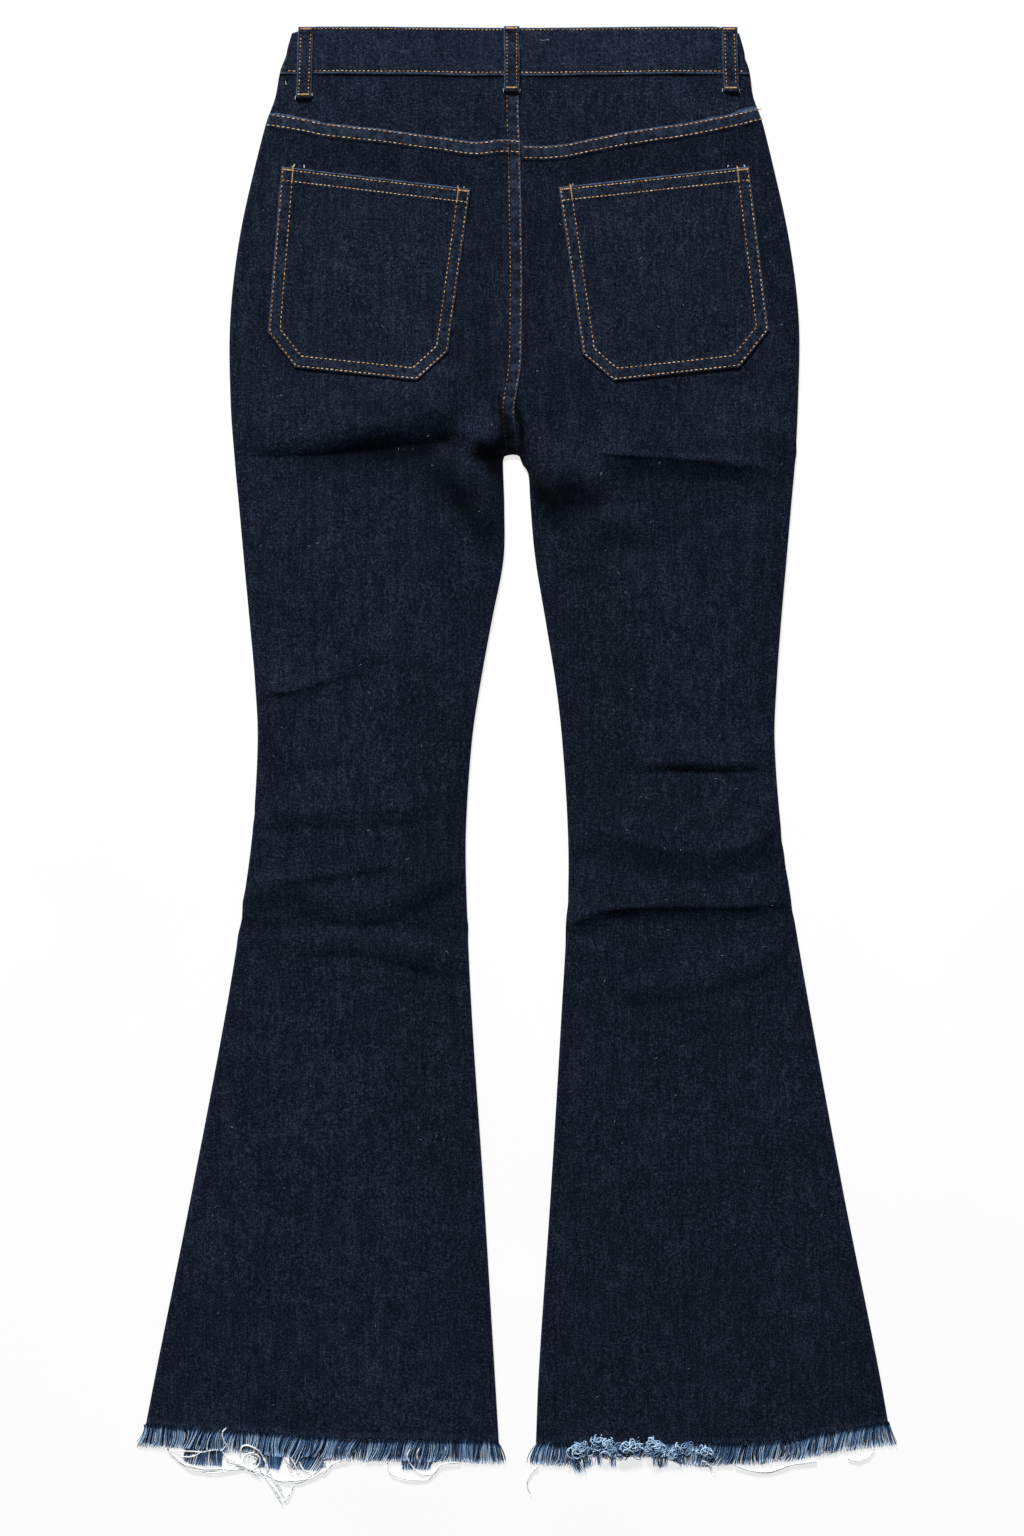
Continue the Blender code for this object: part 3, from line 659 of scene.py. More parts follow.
def creases(x, below):
    """Height of all the creases at points."""
    raised = np.zeros(np.shape(x))
    for number, crease in enumerate(CREASES):
        margin = 3 * max(crease.upper, crease.lower)
        near, off, share, progress = beside(crease.route, number, x, below, margin)
        wider = 1 + (crease.widen - 1) * progress
        raised[near] += share * crease_profile(crease, off, wider)
    return raised


def painted_fold_shade(side, x, below):
    """How much darker the cloth is painted where shade falls in the folds and round the crotch, and over the
    right leg.
    """
    light = np.full(np.shape(x), 1 - (RIGHT_LEG_PAINTED_SHADE if side > 0 else 0.0))
    for number, stroke in enumerate(PAINTED_SHADE_STROKES):
        margin = 3 * max(stroke.upper, stroke.lower)
        near, off, share, _ = beside(stroke.route, number, x, below, margin)
        width = np.where(off < 0, stroke.upper, stroke.lower)
        light[near] *= 1 - np.clip(stroke.depth * share * bell(off, width), 0, 1)
    return 1 - light


# Ridges and grooves beside the end of the centre seam: their distance from it, width and height.
Bump = namedtuple("Bump", "off width height")
SEAM_END_BUMPS = (
    Bump(-19.0, 7.0, 1.4),
    Bump(-9.4, 2.4, -1.5),
    Bump(6.8, 3.0, -2.2),
    Bump(16.0, 6.5, 1.4),
)
BASIN_WIDTH = 9.5  # the cloth sinks round the seam's end over this width,
BASIN_DEPTH = 3.4  # and by this much


def crotch_hollow(x, below):
    """The cloth sinks round the end of the centre seam, with bumps beside it and a pit on its left."""
    off = x - seam(below)
    sunk = ramp(below, 300, 344) ** 1.4 * (1 - ramp(below, 350, 370))
    fade = ramp(below, 288, 314) * (1 - ramp(below, 344, 362))
    bumps = sum(bump.height * bell(off - bump.off, bump.width) for bump in SEAM_END_BUMPS)
    pit = 1.5 * bell(x + 20.0, 9.0) * bell(below - 348.0, 10.0)
    return fade * bumps - BASIN_DEPTH * bell(off, BASIN_WIDTH) * sunk - pit


def swell(below, inside):
    """Room between the two layers; inside is 0 at the outline and 1 away from it."""
    middle = along(SWELL, "below", "middle", below)
    edge = along(SWELL, "below", "edge", below)
    return edge + (middle - edge) * inside


def back_base(side, x, below):
    """Height of the back layer's outer face, without its seams."""
    distance = outline_distance(side, x, below, back_inner)
    inside = ramp(distance, 0.0, EDGE_REACH)
    low = front_low(x, below)
    top = low + 2 * CLOTH + GAP + swell(below, inside)
    top = top + (creases(x, below) + crotch_hollow(x, below)) * ramp(distance, -3.0, 12.0)
    uneven = waves(BROAD_WAVE, x, below) + waves(SHORT_WAVE, x, below)
    top = top + uneven * inside * ramp(below, 60, 130)
    hem_rise = waves(HEM_WAVE, x, below) + 0.6 * HEM_WAVE.height
    top = top + ramp(below, 1040, 1125) * hem_rise * inside
    meeting = low + MEETING
    return meeting + np.maximum(top - meeting, 0.35) * quarter(distance, ROLL)


def yoke_line(x):
    """The folded edge over the yoke; its two halves miss each other a little at the centre."""
    edge = along(YOKE_EDGE, "x", "below", x) + waves(YOKE_EDGE_WAVE, np.asarray(x, float), 0.0)
    left = -1.8 * ramp(x, -34, -6)
    right = 2.2 * (1 - ramp(x, 5, 36))
    return edge + np.where(np.asarray(x) < LAP_EDGE, left, right)


def hem_line(x):
    return along(HEM_EDGE, "x", "below", x)


def row_grooves(distance, rows):
    """1 on each row of stitches, falling off beside it."""
    return sum(bell(distance - row, ROW_WIDTH) for row in rows)


def lap_relief(x, below):
    """The centre lap stands up from its folded edge on the right to a soft edge on the left."""
    off = x - seam(below)
    up = ramp(off, -LAP_BACK - 1.4, -LAP_BACK + 0.6)
    return (LAP_HEIGHT * up - 0.22 * row_grooves(off, LAP_ROWS)) * quarter(LAP_EDGE - off, FOLD_EDGE)


def lap_spots(off, below):
    """Chafed spots between the two rows of stitches of the centre lap."""
    spots = ramp(np.sin(below * 0.47 + 1.4 * np.sin(below * 0.083)), -0.3, 0.9)
    return (0.16 + 0.32 * spots) * ramp(off, LAP_ROWS[0] - 0.5, LAP_ROWS[0] + 2.0)


def back_face(side, x, below):
    """Height of a back leg's outer face with its laps."""
    top = back_base(side, x, below)
    past = below - yoke_line(x)
    rows = row_grooves(past, YOKE_ROWS)
    lap = LAP_HEIGHT * (1 - 0.75 * ramp(past, YOKE_LAP - 0.4, YOKE_LAP + 1.6)) * (1 - ramp(past, 12, 30))
    puff = waves(YOKE_LAP_WAVE, x, past) * (past < YOKE_LAP)
    top = top + (lap - ROW_DEPTH * rows + puff) * quarter(past, FOLD_EDGE) * (past >= 0)
    if side < 0:
        top = top + lap_relief(x, below) * (1 - ramp(below, CROTCH_BELOW - 8, CROTCH_BELOW))
    return top


def yoke_face(side, x, below):
    top = back_base(side, x, below) + waves(YOKE_WAVE, x, below)
    if side < 0:
        top = top + lap_relief(x, below)
    return top


def band_face(x, below):
    """Height of the waistband's outer face on the back."""
    distance = np.maximum(BAND_SIDE - np.abs(x), 0)
    room = swell(below, ramp(distance, 0.0, EDGE_REACH))
    return front_low(x, below) + CLOTH + GAP + room + BAND_WALL


def polygon_distance(corners, x, below):
    """Distance inside each side of a clockwise polygon; one array for each side."""
    result = []
    for start, end in zip(corners, corners[1:] + corners[:1]):
        run_x = end.x - start.x
        run_below = end.below - start.below
        length = math.hypot(run_x, run_below)
        result.append(((below - start.below) * run_x - (x - start.x) * run_below) / length)
    return result


def pocket_face(side, corners, x, below):
    """Height of a pocket's outer face: a rolled hem on top and seam allowances down the sides."""
    top, *others = polygon_distance(corners, x, below)
    sides = np.minimum.reduce(others)
    rim = np.minimum(top, sides)
    hem = 0.55 * (1 - ramp(top, 12.2, 13.8))
    allowance = 0.32 * (1 - ramp(sides, 10.4, 12.2))
    rows = row_grooves(top, POCKET_TOP_ROWS) + row_grooves(sides, POCKET_SIDE_ROWS)
    slack = 0.35 * ramp(rim, 10, 40) * (1 + ripple(x, below, 60.0, 31)) + waves(POCKET_WAVE, x, below)
    lift = CLOTH + 0.15 + hem + allowance - ROW_DEPTH * np.minimum(rows, 1) + slack
    return back_base(side, x, below) + lift * (0.12 + 0.88 * quarter(rim, FOLD_EDGE))


# ---------------------------------------------------------------- meshes


def to_metres(x, below, height):
    x, below, height = np.broadcast_arrays(x, below, height)
    return np.stack([x, ORIGIN_BELOW_WAIST - below, height], axis=-1) * MM


def mesh_object(name, points, faces, values=None, smooth=True):
    """An object from an array of points in metres, lists of faces, and values for each point."""
    mesh = bpy.data.meshes.new(name)
    mesh.from_pydata(points.reshape(-1, 3).tolist(), [], faces)
    for key, value in (values or {}).items():
        layer = mesh.attributes.new(key, "FLOAT", "POINT")
        layer.data.foreach_set("value", np.asarray(value, np.float32).reshape(-1))
    mesh.validate()
    if smooth:
        mesh.shade_smooth()
    made = bpy.data.objects.new(name, mesh)
    bpy.context.collection.objects.link(made)
    return made


def grid_faces(rows, columns, flip=False, wrap=False):
    """Quads of a grid of points; flip turns them over, and wrap joins the last column to the first."""
    index = np.arange(rows * columns).reshape(rows, columns)
    right = np.roll(index, -1, axis=1) if wrap else index[:, 1:]
    left = index if wrap else index[:, :-1]
    quads = np.stack([left[:-1], left[1:], right[1:], right[:-1]], axis=-1).reshape(-1, 4)
    return quads[:, ::-1] if flip else quads


def cloth(name, x, below, height, outside_up, values, wall=SHELL):
    """A thin shell of cloth from a grid of points on its outer face."""
    rows, columns = x.shape
    rising = x[rows // 2, -1] > x[rows // 2, 0]
    faces = grid_faces(rows, columns, flip=rising != outside_up)
    made = mesh_object(name, to_metres(x, below, height), faces.tolist(), values)
    thick = made.modifiers.new("wall", "SOLIDIFY")
    thick.thickness = wall * MM
    thick.offset = -1.0
    thick.material_offset = 1
    thick.material_offset_rim = 2
    thick.use_quality_normals = True
    return made


def panel_grid(side, inner, levels, top, hem, edge_steps, seam_steps, middle_count, blend=130.0):
    """x and below of a grid over one leg panel, fine at its edges.

    Near its ends the level rows bend, within the blend, to the lines top and hem.
    """
    levels = np.asarray(levels, float)[:, None]
    outer_in = np.array(edge_steps, float)
    inner_in = np.array(seam_steps, float)
    shares = np.linspace(0, 1, middle_count + 2)[1:-1]

    def across(below):
        outer = outer_edge(side, below)
        inside = inner(side, below)
        first = outer - side * outer_in[None, :]
        last = inside + side * inner_in[::-1][None, :]
        middle = first[:, -1:] + (last[:, :1] - first[:, -1:]) * shares[None, :]
        return np.concatenate([first, middle, last], axis=1)

    near = across(levels)
    up = np.clip(1 - (levels - levels[0]) / blend, 0, 1)
    down = np.clip(1 - (levels[-1] - levels) / blend, 0, 1)
    below = levels + (top(near) - levels[0]) * up + (hem(near) - levels[-1]) * down
    outer = outer_edge(side, below)
    inside = inner(side, below)
    columns = near.shape[1]
    first = outer[:, : len(outer_in)] - side * outer_in[None, :]
    last = inside[:, columns - len(inner_in) :] + side * inner_in[::-1][None, :]
    middle_columns = slice(len(outer_in), columns - len(inner_in))
    edge_a = outer[:, middle_columns] - side * outer_in[-1]
    edge_b = inside[:, middle_columns] + side * inner_in[-1]
    middle = edge_a + (edge_b - edge_a) * shares[None, :]
    return np.concatenate([first, middle, last], axis=1), below


# Where the creases of the back need close rows: from, to, and the step between rows.
Band = namedtuple("Band", "start end step")
CREASE_ROWS = (
    Band(264, 298, 2.2),
    Band(298, 392, 1.5),
    Band(392, 500, 4.0),
    Band(500, 544, 1.6),
    Band(544, 577, 3.2),
    Band(577, 604, 1.5),
    Band(604, 632, 2.2),
    Band(632, 762, 1.6),
    Band(762, 792, 2.4),
)


CROTCH_STEPS = (-0.6, 0.0, 0.1, 0.25, 0.4, 0.9, 1.6, 2.8, 4.2, 6, 9, 12, 15, 18)


def levels_between(top, bottom, step, fine_top=(), bands=()):
    """Row levels: fine under the top edge, then a regular step, closer in bands, and fine at the crotch."""
    start = top + (fine_top[-1] if fine_top else 0.0)
    regular = np.linspace(start, bottom, int(round((bottom - start) / step)) + 1)
    for band in bands:
        closer = np.arange(band.start, band.end, band.step)
        regular = np.concatenate([regular[(regular < band.start) | (regular > band.end)], closer])
    regular = regular[(regular < CROTCH_BELOW - 1) | (regular > CROTCH_BELOW + 19)]
    extra = [top + value for value in fine_top] + [CROTCH_BELOW + value for value in CROTCH_STEPS]
    return np.unique(np.concatenate([regular, extra]))


# How far a panel's first columns lie from its outline and from its seam, and its first rows from its top.
EDGE_STEPS = (0, 0.1, 0.35, 0.8, 1.5, 2.4, 3.4, 4.6, 6.4, 8.8)
SEAM_STEPS = (0, 0.15, 0.45, 0.9, 1.5, 2.2, 3.0, 4.0, 5.0, 6.2, 7.4, 8.6, 9.8, 10.8, 11.8, 12.8, 14.4, 16.8)
TOP_STEPS = (0, 0.12, 0.4, 0.9, 1.5, 2.2, 3.2, 4.6, 6.2, 7.8, 8.9, 9.8, 10.7, 11.6, 12.5, 14, 16.5)
FRONT_SEAM_STEPS = (0, 0.3, 1, 2.2, 4, 6.5)


def edge_wear(side, x, below, inner):
    """A little chafing along the outline of a leg."""
    return 0.16 * (1 - ramp(outline_distance(side, x, below, inner), 0.5, 3.0))


def make_back(name, side):
    levels = levels_between(95.0, 1130.0, 4.0, TOP_STEPS, CREASE_ROWS)
    x, below = panel_grid(side, back_inner, levels, yoke_line, hem_line, EDGE_STEPS, SEAM_STEPS, 52)
    height = back_face(side, x, below)
    past = below - yoke_line(x)
    off = x - seam(below)
    wear = 0.9 * (1 - ramp(past, 0.5, 1.5))
    between = (1 - ramp(past, 9.0, 13)) * (0.32 + 0.2 * ramp(ripple(x, past * 0.1, 7.0, 71), -0.5, 1.0))
    if side < 0:
        fold = (1 - ramp(LAP_EDGE - off, 0.9, 2.1)) * (below < CROTCH_BELOW)
        wear = np.maximum(wear, fold * (1 - 0.6 * ramp(below, 305, 335)))
        between = np.maximum(between, lap_spots(off, below) * (below < CROTCH_BELOW))
    wear = np.maximum(np.maximum(wear, between), edge_wear(side, x, below, back_inner))
    raw = 1 - ramp(hem_line(x) - below, 0.5, 5.5)
    # painted shade of the folds, the crotch and the right leg goes to the material as a darkening
    return cloth(name, x, below, height, True, {"wear": wear, "raw": raw, "painted_shade": painted_fold_shade(side, x, below)})


def make_yoke(name, side):
    """The yoke, which runs on under the waistband and under the legs' folded edge."""
    steps = np.linspace(0, 1, 40)[:, None] ** 1.3
    shares = np.linspace(0, 1, 54)[1:-1]

    def across(below):
        outer = outer_edge(side, below) - side * np.array(EDGE_STEPS)[None, :]
        inner = back_inner(side, below) + side * np.array(SEAM_STEPS)[::-1][None, :]
        middle = outer[:, -1:] + (inner[:, :1] - outer[:, -1:]) * shares[None, :]
        return np.concatenate([outer, middle, inner], axis=1)

    near = across(np.full_like(steps, 80.0))
    top = BAND_HEIGHT - 5.0
    below = top + (yoke_line(near) + YOKE_LAP - 1.5 - top) * steps
    x = np.stack([np.diagonal(across(row[:, None])) for row in below])
    height = yoke_face(side, x, below)
    tuck = 1.3 * (1 - ramp(below, BAND_HEIGHT - 1.5, BAND_HEIGHT + 2.5))
    height = height - tuck * ramp(outline_distance(side, x, below, back_inner), 2, 12)
    off = x - seam(below)
    wear = np.zeros_like(x)
    if side < 0:
        wear = np.maximum(1 - ramp(LAP_EDGE - off, 0.9, 2.1), lap_spots(off, below))
    # painted shadow: the yoke is darkened in a strip just below the waistband's lower edge
    painted_shade = 0.72 * (1 - ramp(below - BAND_HEIGHT - band_sag(x, BAND_HEIGHT), 0.5, 4.0))
    return cloth(name, x, below, height, True, {"wear": wear, "painted_shade": painted_shade})


def make_front(name, side):
    def top(x):
        return np.full(np.shape(x), BAND_HEIGHT - 4.0)

    def hem(x):
        return hem_line(x) + FRONT_HEM_DROP

    levels = levels_between(BAND_HEIGHT - 4.0, 1133.0, 5.6, (0, 2, 4, 6))
    x, below = panel_grid(side, front_inner, levels, top, hem, EDGE_STEPS, FRONT_SEAM_STEPS, 34)
    distance = outline_distance(side, x, below, front_inner)
    low = front_low(x, below)
    seam_distance = np.where(below < CROTCH_BELOW, np.abs(x - CROTCH_X), 1e3)
    groove = 0.35 * (1 - ramp(seam_distance, 0.0, 2.2)) * (below > LIFT_SPAN[0])
    height = low + MEETING * (1 - quarter(distance, ROLL)) + groove
    raw = 1 - ramp(hem(x) - below, 0.5, 5.5)
    values = {"wear": edge_wear(side, x, below, front_inner), "raw": raw}
    return cloth(name, x, below, height, False, values)


def pocket_grid(corners, step=1.35):
    """A grid over a pocket: level rows between its two side paths, fine at the rim."""
    top_left, top_right, low_right, foot_right, foot_left, low_left = corners
    bend = 0.86

    def steps(length):
        rim = np.array([0, 0.12, 0.4, 0.85, 1.5, 2.3, 3.2])
        inner = np.linspace(4.4, length - 4.4, int((length - 8.8) / step))
        return np.concatenate([rim, inner, length - rim[::-1]]) / length

    down = np.unique(np.concatenate([steps(165.0), [bend]]))
    over = steps(150.0)

    def path(start, knee, end):
        x = np.interp(down, [0, bend, 1], [start.x, knee.x, end.x])
        below = np.interp(down, [0, bend, 1], [start.below, knee.below, end.below])
        return x[:, None], below[:, None]

    left_x, left_below = path(top_left, low_left, foot_left)
    right_x, right_below = path(top_right, low_right, foot_right)
    return left_x + (right_x - left_x) * over, left_below + (right_below - left_below) * over


def make_pocket(name, side, corners):
    x, below = pocket_grid(corners)
    height = pocket_face(side, corners, x, below)
    top, *others = polygon_distance(corners, x, below)
    sides = np.minimum.reduce(others)
    rim = np.minimum(top, sides)
    wear = np.maximum(1 - ramp(rim, 0.45, 1.3), 0.22 * (1 - ramp(top, 11, 14)))
    wear = np.maximum(wear, 0.2 * (1 - ramp(sides, 9, 12)))
    return cloth(name, x, below, height, True, {"wear": wear}, wall=0.9)


# ---------------------------------------------------------------- waistband and loops


def band_route(below, steps=130, turn_steps=14):
    """Middle line of the waistband at one distance below its top, as in the CAD: x and height."""
    turns = {}
    for side in (1, -1):
        edge = float(outer_edge(side, below))
        near_edge = edge - side * 2 * BAND_WALL
        inner_back = float(band_face(near_edge, below)) - BAND_WALL
        radius = (inner_back - float(front_low(near_edge, below))) / 2
        centre_x = edge - side * (radius + BAND_WALL / 2)
        low = float(front_low(centre_x, below)) + BAND_WALL / 2
        high = float(band_face(centre_x, below)) - BAND_WALL / 2
        angle = math.pi * (np.arange(1, turn_steps) / turn_steps - 0.5)
        if side < 0:
            angle = -angle
        turn_x = centre_x + side * radius * np.cos(angle)
        turn_height = (low + high) / 2 + (high - low) / 2 * np.sin(angle)
        turns[side] = (centre_x, np.stack([turn_x, turn_height], 1))
    right_x, right_turn = turns[1]
    left_x, left_turn = turns[-1]

    def run(start, end, height):
        x = np.linspace(start, end, steps)
        return np.stack([x, height(x)], 1)

    def under(x):
        return front_low(x, below) + BAND_WALL / 2

    def lapped(x):
        return under(x) + (BAND_WALL + GAP) * ramp(x, -BAND_STEP_START, -BAND_LAP - 2)

    def over(x):
        return band_face(x, below) - BAND_WALL / 2

    first = run(-BAND_LAP, right_x, under)
    last = run(left_x, BAND_LAP, lapped)
    return np.concatenate([first, right_turn, run(right_x, left_x, over), left_turn, last])


def band_sag(x, below):
    """How far the waistband sags towards its middle; its lower edge runs unevenly where it is sewn on."""
    x = np.asarray(x, float)
    down = (below / BAND_HEIGHT) ** 2
    middle = bell(x, 105.0)
    return 0.5 * (1 - down) + (1.5 + 0.9 * down) * middle + 0.55 * ripple(x, 0.0, 74.0, 47) * down


def make_waistband(name):
    """A folded strip swept round the waist; its section is a flat loop with rounded folds."""
    radius = BAND_WALL / 2
    fold = radius * (1 - np.cos(np.linspace(0, math.pi / 2, 6)))
    rim = np.concatenate([fold, np.arange(1.8, 6.4, 0.75)])
    face = np.concatenate([rim, np.linspace(7.0, BAND_HEIGHT - 7.0, 12), BAND_HEIGHT - rim[::-1]])
    edge = np.minimum(face, BAND_HEIGHT - face)
    offset = radius * quarter(edge, radius) - ROW_DEPTH * row_grooves(edge, (BAND_ROW,))
    outer, inner = [], []
    for below, out in zip(face, offset):
        route = band_route(below)
        tangent = np.gradient(route, axis=0)
        tangent /= np.linalg.norm(tangent, axis=1)[:, None]
        normal = np.stack([tangent[:, 1], -tangent[:, 0]], 1)
        reach = np.maximum(BAND_SIDE - np.abs(route[:, 0]), 0)
        drop = BAND_CORNER_DROP * (1 - ramp(reach, -4, BAND_CORNER_REACH)) * (1 - below / BAND_HEIGHT)
        uneven = waves(BAND_PUCKER, route[:, 0], below) + waves(BAND_WAVE, route[:, 0], below)
        out_here = out + uneven * min(1.0, min(below, BAND_HEIGHT - below) / 2.0)
        level = below + drop + band_sag(route[:, 0], below)
        outward = normal * out_here[:, None]
        outer.append(to_metres(route[:, 0] + outward[:, 0], level, route[:, 1] + outward[:, 1]))
        inner.append(to_metres(route[:, 0] - normal[:, 0] * out, level, route[:, 1] - normal[:, 1] * out))
    worn = np.maximum(1 - ramp(BAND_HEIGHT - face, 1.1, 2.3), 1 - ramp(face, 0.5, 1.8))
    worn = np.maximum(worn, 0.12)
    ring = np.transpose(np.array(outer + inner[::-1][1:-1]), (1, 0, 2))
    wear = np.concatenate([worn, worn[::-1][1:-1]])
    rows_count, columns = ring.shape[:2]
    faces = grid_faces(rows_count, columns, wrap=True).tolist()
    first = np.arange(columns)
    last = first + (rows_count - 1) * columns
    faces += [first.tolist(), last[::-1].tolist()]
    return mesh_object(name, ring, faces, {"wear": np.tile(wear, rows_count)})


def loop_height(loop, x, below):
    """Height of the face of a loop that lies against the garment; the loop bows out between its ends."""
    share = (below - loop.above) / (loop.below - loop.above)
    bow = np.sin(math.pi * ramp(share, 0.08, 0.92)) ** 0.8
    at = np.maximum(below, 0.0)
    if not loop.on_back:
        return front_low(x, at) - GAP - 0.45 * bow
    side = -1 if loop.x_top < 0 else 1
    on_band = band_face(x, at)
    on_yoke = back_base(side, np.asarray(x, float), np.maximum(np.asarray(below, float), 30.0)) + 0.15
    if loop.name == "loop_centre":
        on_yoke = on_yoke + LAP_HEIGHT * 0.8
    step = ramp(below, BAND_HEIGHT + 0.5, BAND_HEIGHT + 9)
    return on_band + (on_yoke - on_band) * step + 1.35 * bow + 0.1


LOOP_THICK = 1.5
LOOP_ROW = 4.0  # a loop's two rows of stitches press it in this far from its middle


def loop_middle(loop, below):
    """x of a loop's middle line."""
    share = (np.asarray(below, float) - loop.above) / (loop.below - loop.above)
    return loop.x_top + (loop.x_bottom - loop.x_top) * share


def make_loop(loop):
    """A folded strip with rounded sides; both ends are tucked under, so they stand thicker."""
    lengthwise = np.concatenate([[0, 0.15, 0.5, 1.0], np.linspace(1.8, 55.2, 44), [56, 56.5, 56.85, 57.0]])
    lengthwise = lengthwise / lengthwise[-1]
    half = LOOP_WIDTH / 2
    rim = half - np.array([0.0, 0.1, 0.35, 0.8])
    across = np.concatenate([-rim, np.linspace(-half + 1.5, half - 1.5, 13), rim[::-1]])
    length = loop.below - loop.above
    down = (loop.above + length * lengthwise)[:, None]
    sway = 0.25 * np.sin(lengthwise[:, None] * 7 + loop.x_top)
    x = loop_middle(loop, down) + sway + across[None, :]
    below = down + 0 * across[None, :]
    low = loop_height(loop, loop_middle(loop, below), below)
    from_end = np.minimum(below - loop.above, loop.below - below)
    side_in = half - np.abs(across)[None, :]
    ends = 0.5 * (1 - ramp(from_end, 4.5, 6.5))
    rows = bell(np.abs(across)[None, :] - LOOP_ROW, 0.7)
    body = (LOOP_THICK + ends - 0.18 * rows) * quarter(side_in, 0.8) * quarter(from_end, 0.7)
    body = body + waves(LOOP_WAVE, x, below)
    sign = 1 if loop.on_back else -1
    outer = to_metres(x, below, low + sign * np.maximum(body, 0.1))
    inner = to_metres(x, below, low + sign * 0.02 * np.ones_like(body))
    count_rows, count_columns = x.shape
    total = count_rows * count_columns
    top_faces = grid_faces(count_rows, count_columns, flip=not loop.on_back)
    low_faces = grid_faces(count_rows, count_columns, flip=loop.on_back) + total
    index = np.arange(total).reshape(count_rows, count_columns)
    rim = np.concatenate([index[0], index[1:, -1], index[-1, -2::-1], index[-2:0:-1, 0]])
    following = np.roll(rim, -1)
    sides = np.stack([rim, following, following + total, rim + total], axis=1)
    if not loop.on_back:
        sides = sides[:, ::-1]
    faces = np.concatenate([top_faces, low_faces, sides]).tolist()
    wear = np.maximum(1 - ramp(side_in, 0.5, 1.5) + 0 * below, 0.9 * (1 - ramp(from_end, 0.4, 1.4)))
    wear = np.maximum(wear, 0.14)
    values = {"wear": np.stack([wear, wear])}
    return mesh_object("cloth_" + loop.name, np.stack([outer, inner]), faces, values)


# ---------------------------------------------------------------- stitches


def stitch_shape(sides=6):
    """One stitch of unit length along x and unit radius: rings between two pinched ends."""
    stations = np.array([-0.47, -0.34, 0.0, 0.34, 0.47])
    swell = np.array([0.6, 0.95, 1.0, 0.95, 0.6])
    angle = math.tau * np.arange(sides) / sides
    rings = [
        np.stack([np.full(sides, at), fat * np.cos(angle), fat * np.sin(angle)], 1)
        for at, fat in zip(stations, swell)
    ]
    points = np.concatenate(rings + [np.array([[-0.5, 0, 0], [0.5, 0, 0]])])
    faces = grid_faces(len(stations), sides, wrap=True).tolist()
    start, end = len(stations) * sides, len(stations) * sides + 1
    last = (len(stations) - 1) * sides
    for i in range(sides):
        j = (i + 1) % sides
        faces.append([start, i, j])
        faces.append([end, last + j, last + i])
    return points, faces


STITCH_POINTS, STITCH_FACES = stitch_shape()


def thread_marks(name, marks):
    """Joins many stitches into one object. A mark is its two ends, its radius and its tone."""
    points, faces, tones = [], [], []
    base = 0
    for start, end, radius, tone in marks:
        start, end = np.array(start, float), np.array(end, float)
        run = end - start
        length = np.linalg.norm(run)
        ahead = run / length
        aside = np.array([-ahead[1], ahead[0], 0.0])
        aside /= np.linalg.norm(aside)
        up = np.cross(ahead, aside)
        local = STITCH_POINTS
        dip = -0.32 * radius * (2 * local[:, 0]) ** 2
        placed = (start + end) / 2 + np.outer(local[:, 0] * length, ahead)
        placed = placed + np.outer(local[:, 1] * radius, aside)
        placed = placed + np.outer(local[:, 2] * radius * 0.85 + dip, up)
        points.append(placed)
        faces += [[base + i for i in face] for face in STITCH_FACES]
        tones.append(np.full(len(local), tone))
        base += len(local)
    return mesh_object(name, np.concatenate(points) * MM, faces, {"tone": np.concatenate(tones)})


THREAD = 0.42  # radius of the topstitching thread as it lies
# painted shade: a near-black mark stands for the shade inside each needle hole
HOLE = 0.34  # radius of the dark dimple where the needle went through
HOLE_DEPTH = 0.06  # it lies this much below the cloth's face
HOLE_SHADE_TONE = -0.3
JITTER = 0.07  # how far the ends of a stitch stray
draw = np.random.default_rng(7)  # the chance in all the stitches


def lay_marks(x, below, height, radii, tones):
    """Marks for thread_marks from the two ends of each, a row of the arrays for each mark."""
    marks = []
    for i in range(len(x)):
        start, end = [(x[i, k], ORIGIN_BELOW_WAIST - below[i, k], height[i, k]) for k in (0, 1)]
        marks.append((start, end, float(radii[i]), float(tones[i])))
    return marks


def row_marks(path, surface, pitch=STITCH_PITCH, fill=0.58, radius=THREAD, lift=0.1, tone=0.70, shade=None):
    """Stitches along a path of (x, below) points, with a near-black mark painted as the shade of the needle
    hole between each two.

    surface gives the height of the face below them, and shade the painted shade that darkens them at a
    place.
    """
    path = np.array(path, float)
    steps = np.linalg.norm(np.diff(path, axis=0), axis=1)
    travelled = np.concatenate([[0], np.cumsum(steps)])
    count = max(1, int(travelled[-1] / pitch))
    exact = travelled[-1] / count
    half = np.array([-0.5, 0.5]) * exact
    middles = (np.arange(count)[:, None] + 0.5) * exact
    at = np.clip(middles + fill * half + draw.normal(0, JITTER, (count, 2)), 0, travelled[-1])
    x = np.interp(at, travelled, path[:, 0]) + draw.normal(0, JITTER, (count, 2))
    below = np.interp(at, travelled, path[:, 1]) + draw.normal(0, JITTER, (count, 2))
    tones = np.clip(draw.normal(tone, 0.17, count), 0.35, 1)
    # painted shade: each stitch is darkened by the painted shade of the cloth under it
    if shade is not None:
        tones = np.maximum(tones - 0.85 * shade(x, below).mean(axis=1), 0.02)
    marks = lay_marks(x, below, surface(x, below) + lift, radius * draw.uniform(0.88, 1.12, count), tones)
    at = np.clip(middles[1:] - exact / 2 + (1 - fill) * half, 0, travelled[-1])
    x = np.interp(at, travelled, path[:, 0])
    below = np.interp(at, travelled, path[:, 1])
    hole_shades = np.full(count - 1, HOLE_SHADE_TONE)
    depth = surface(x, below) - HOLE_DEPTH
    return marks + lay_marks(x, below, depth, np.full(count - 1, HOLE), hole_shades)


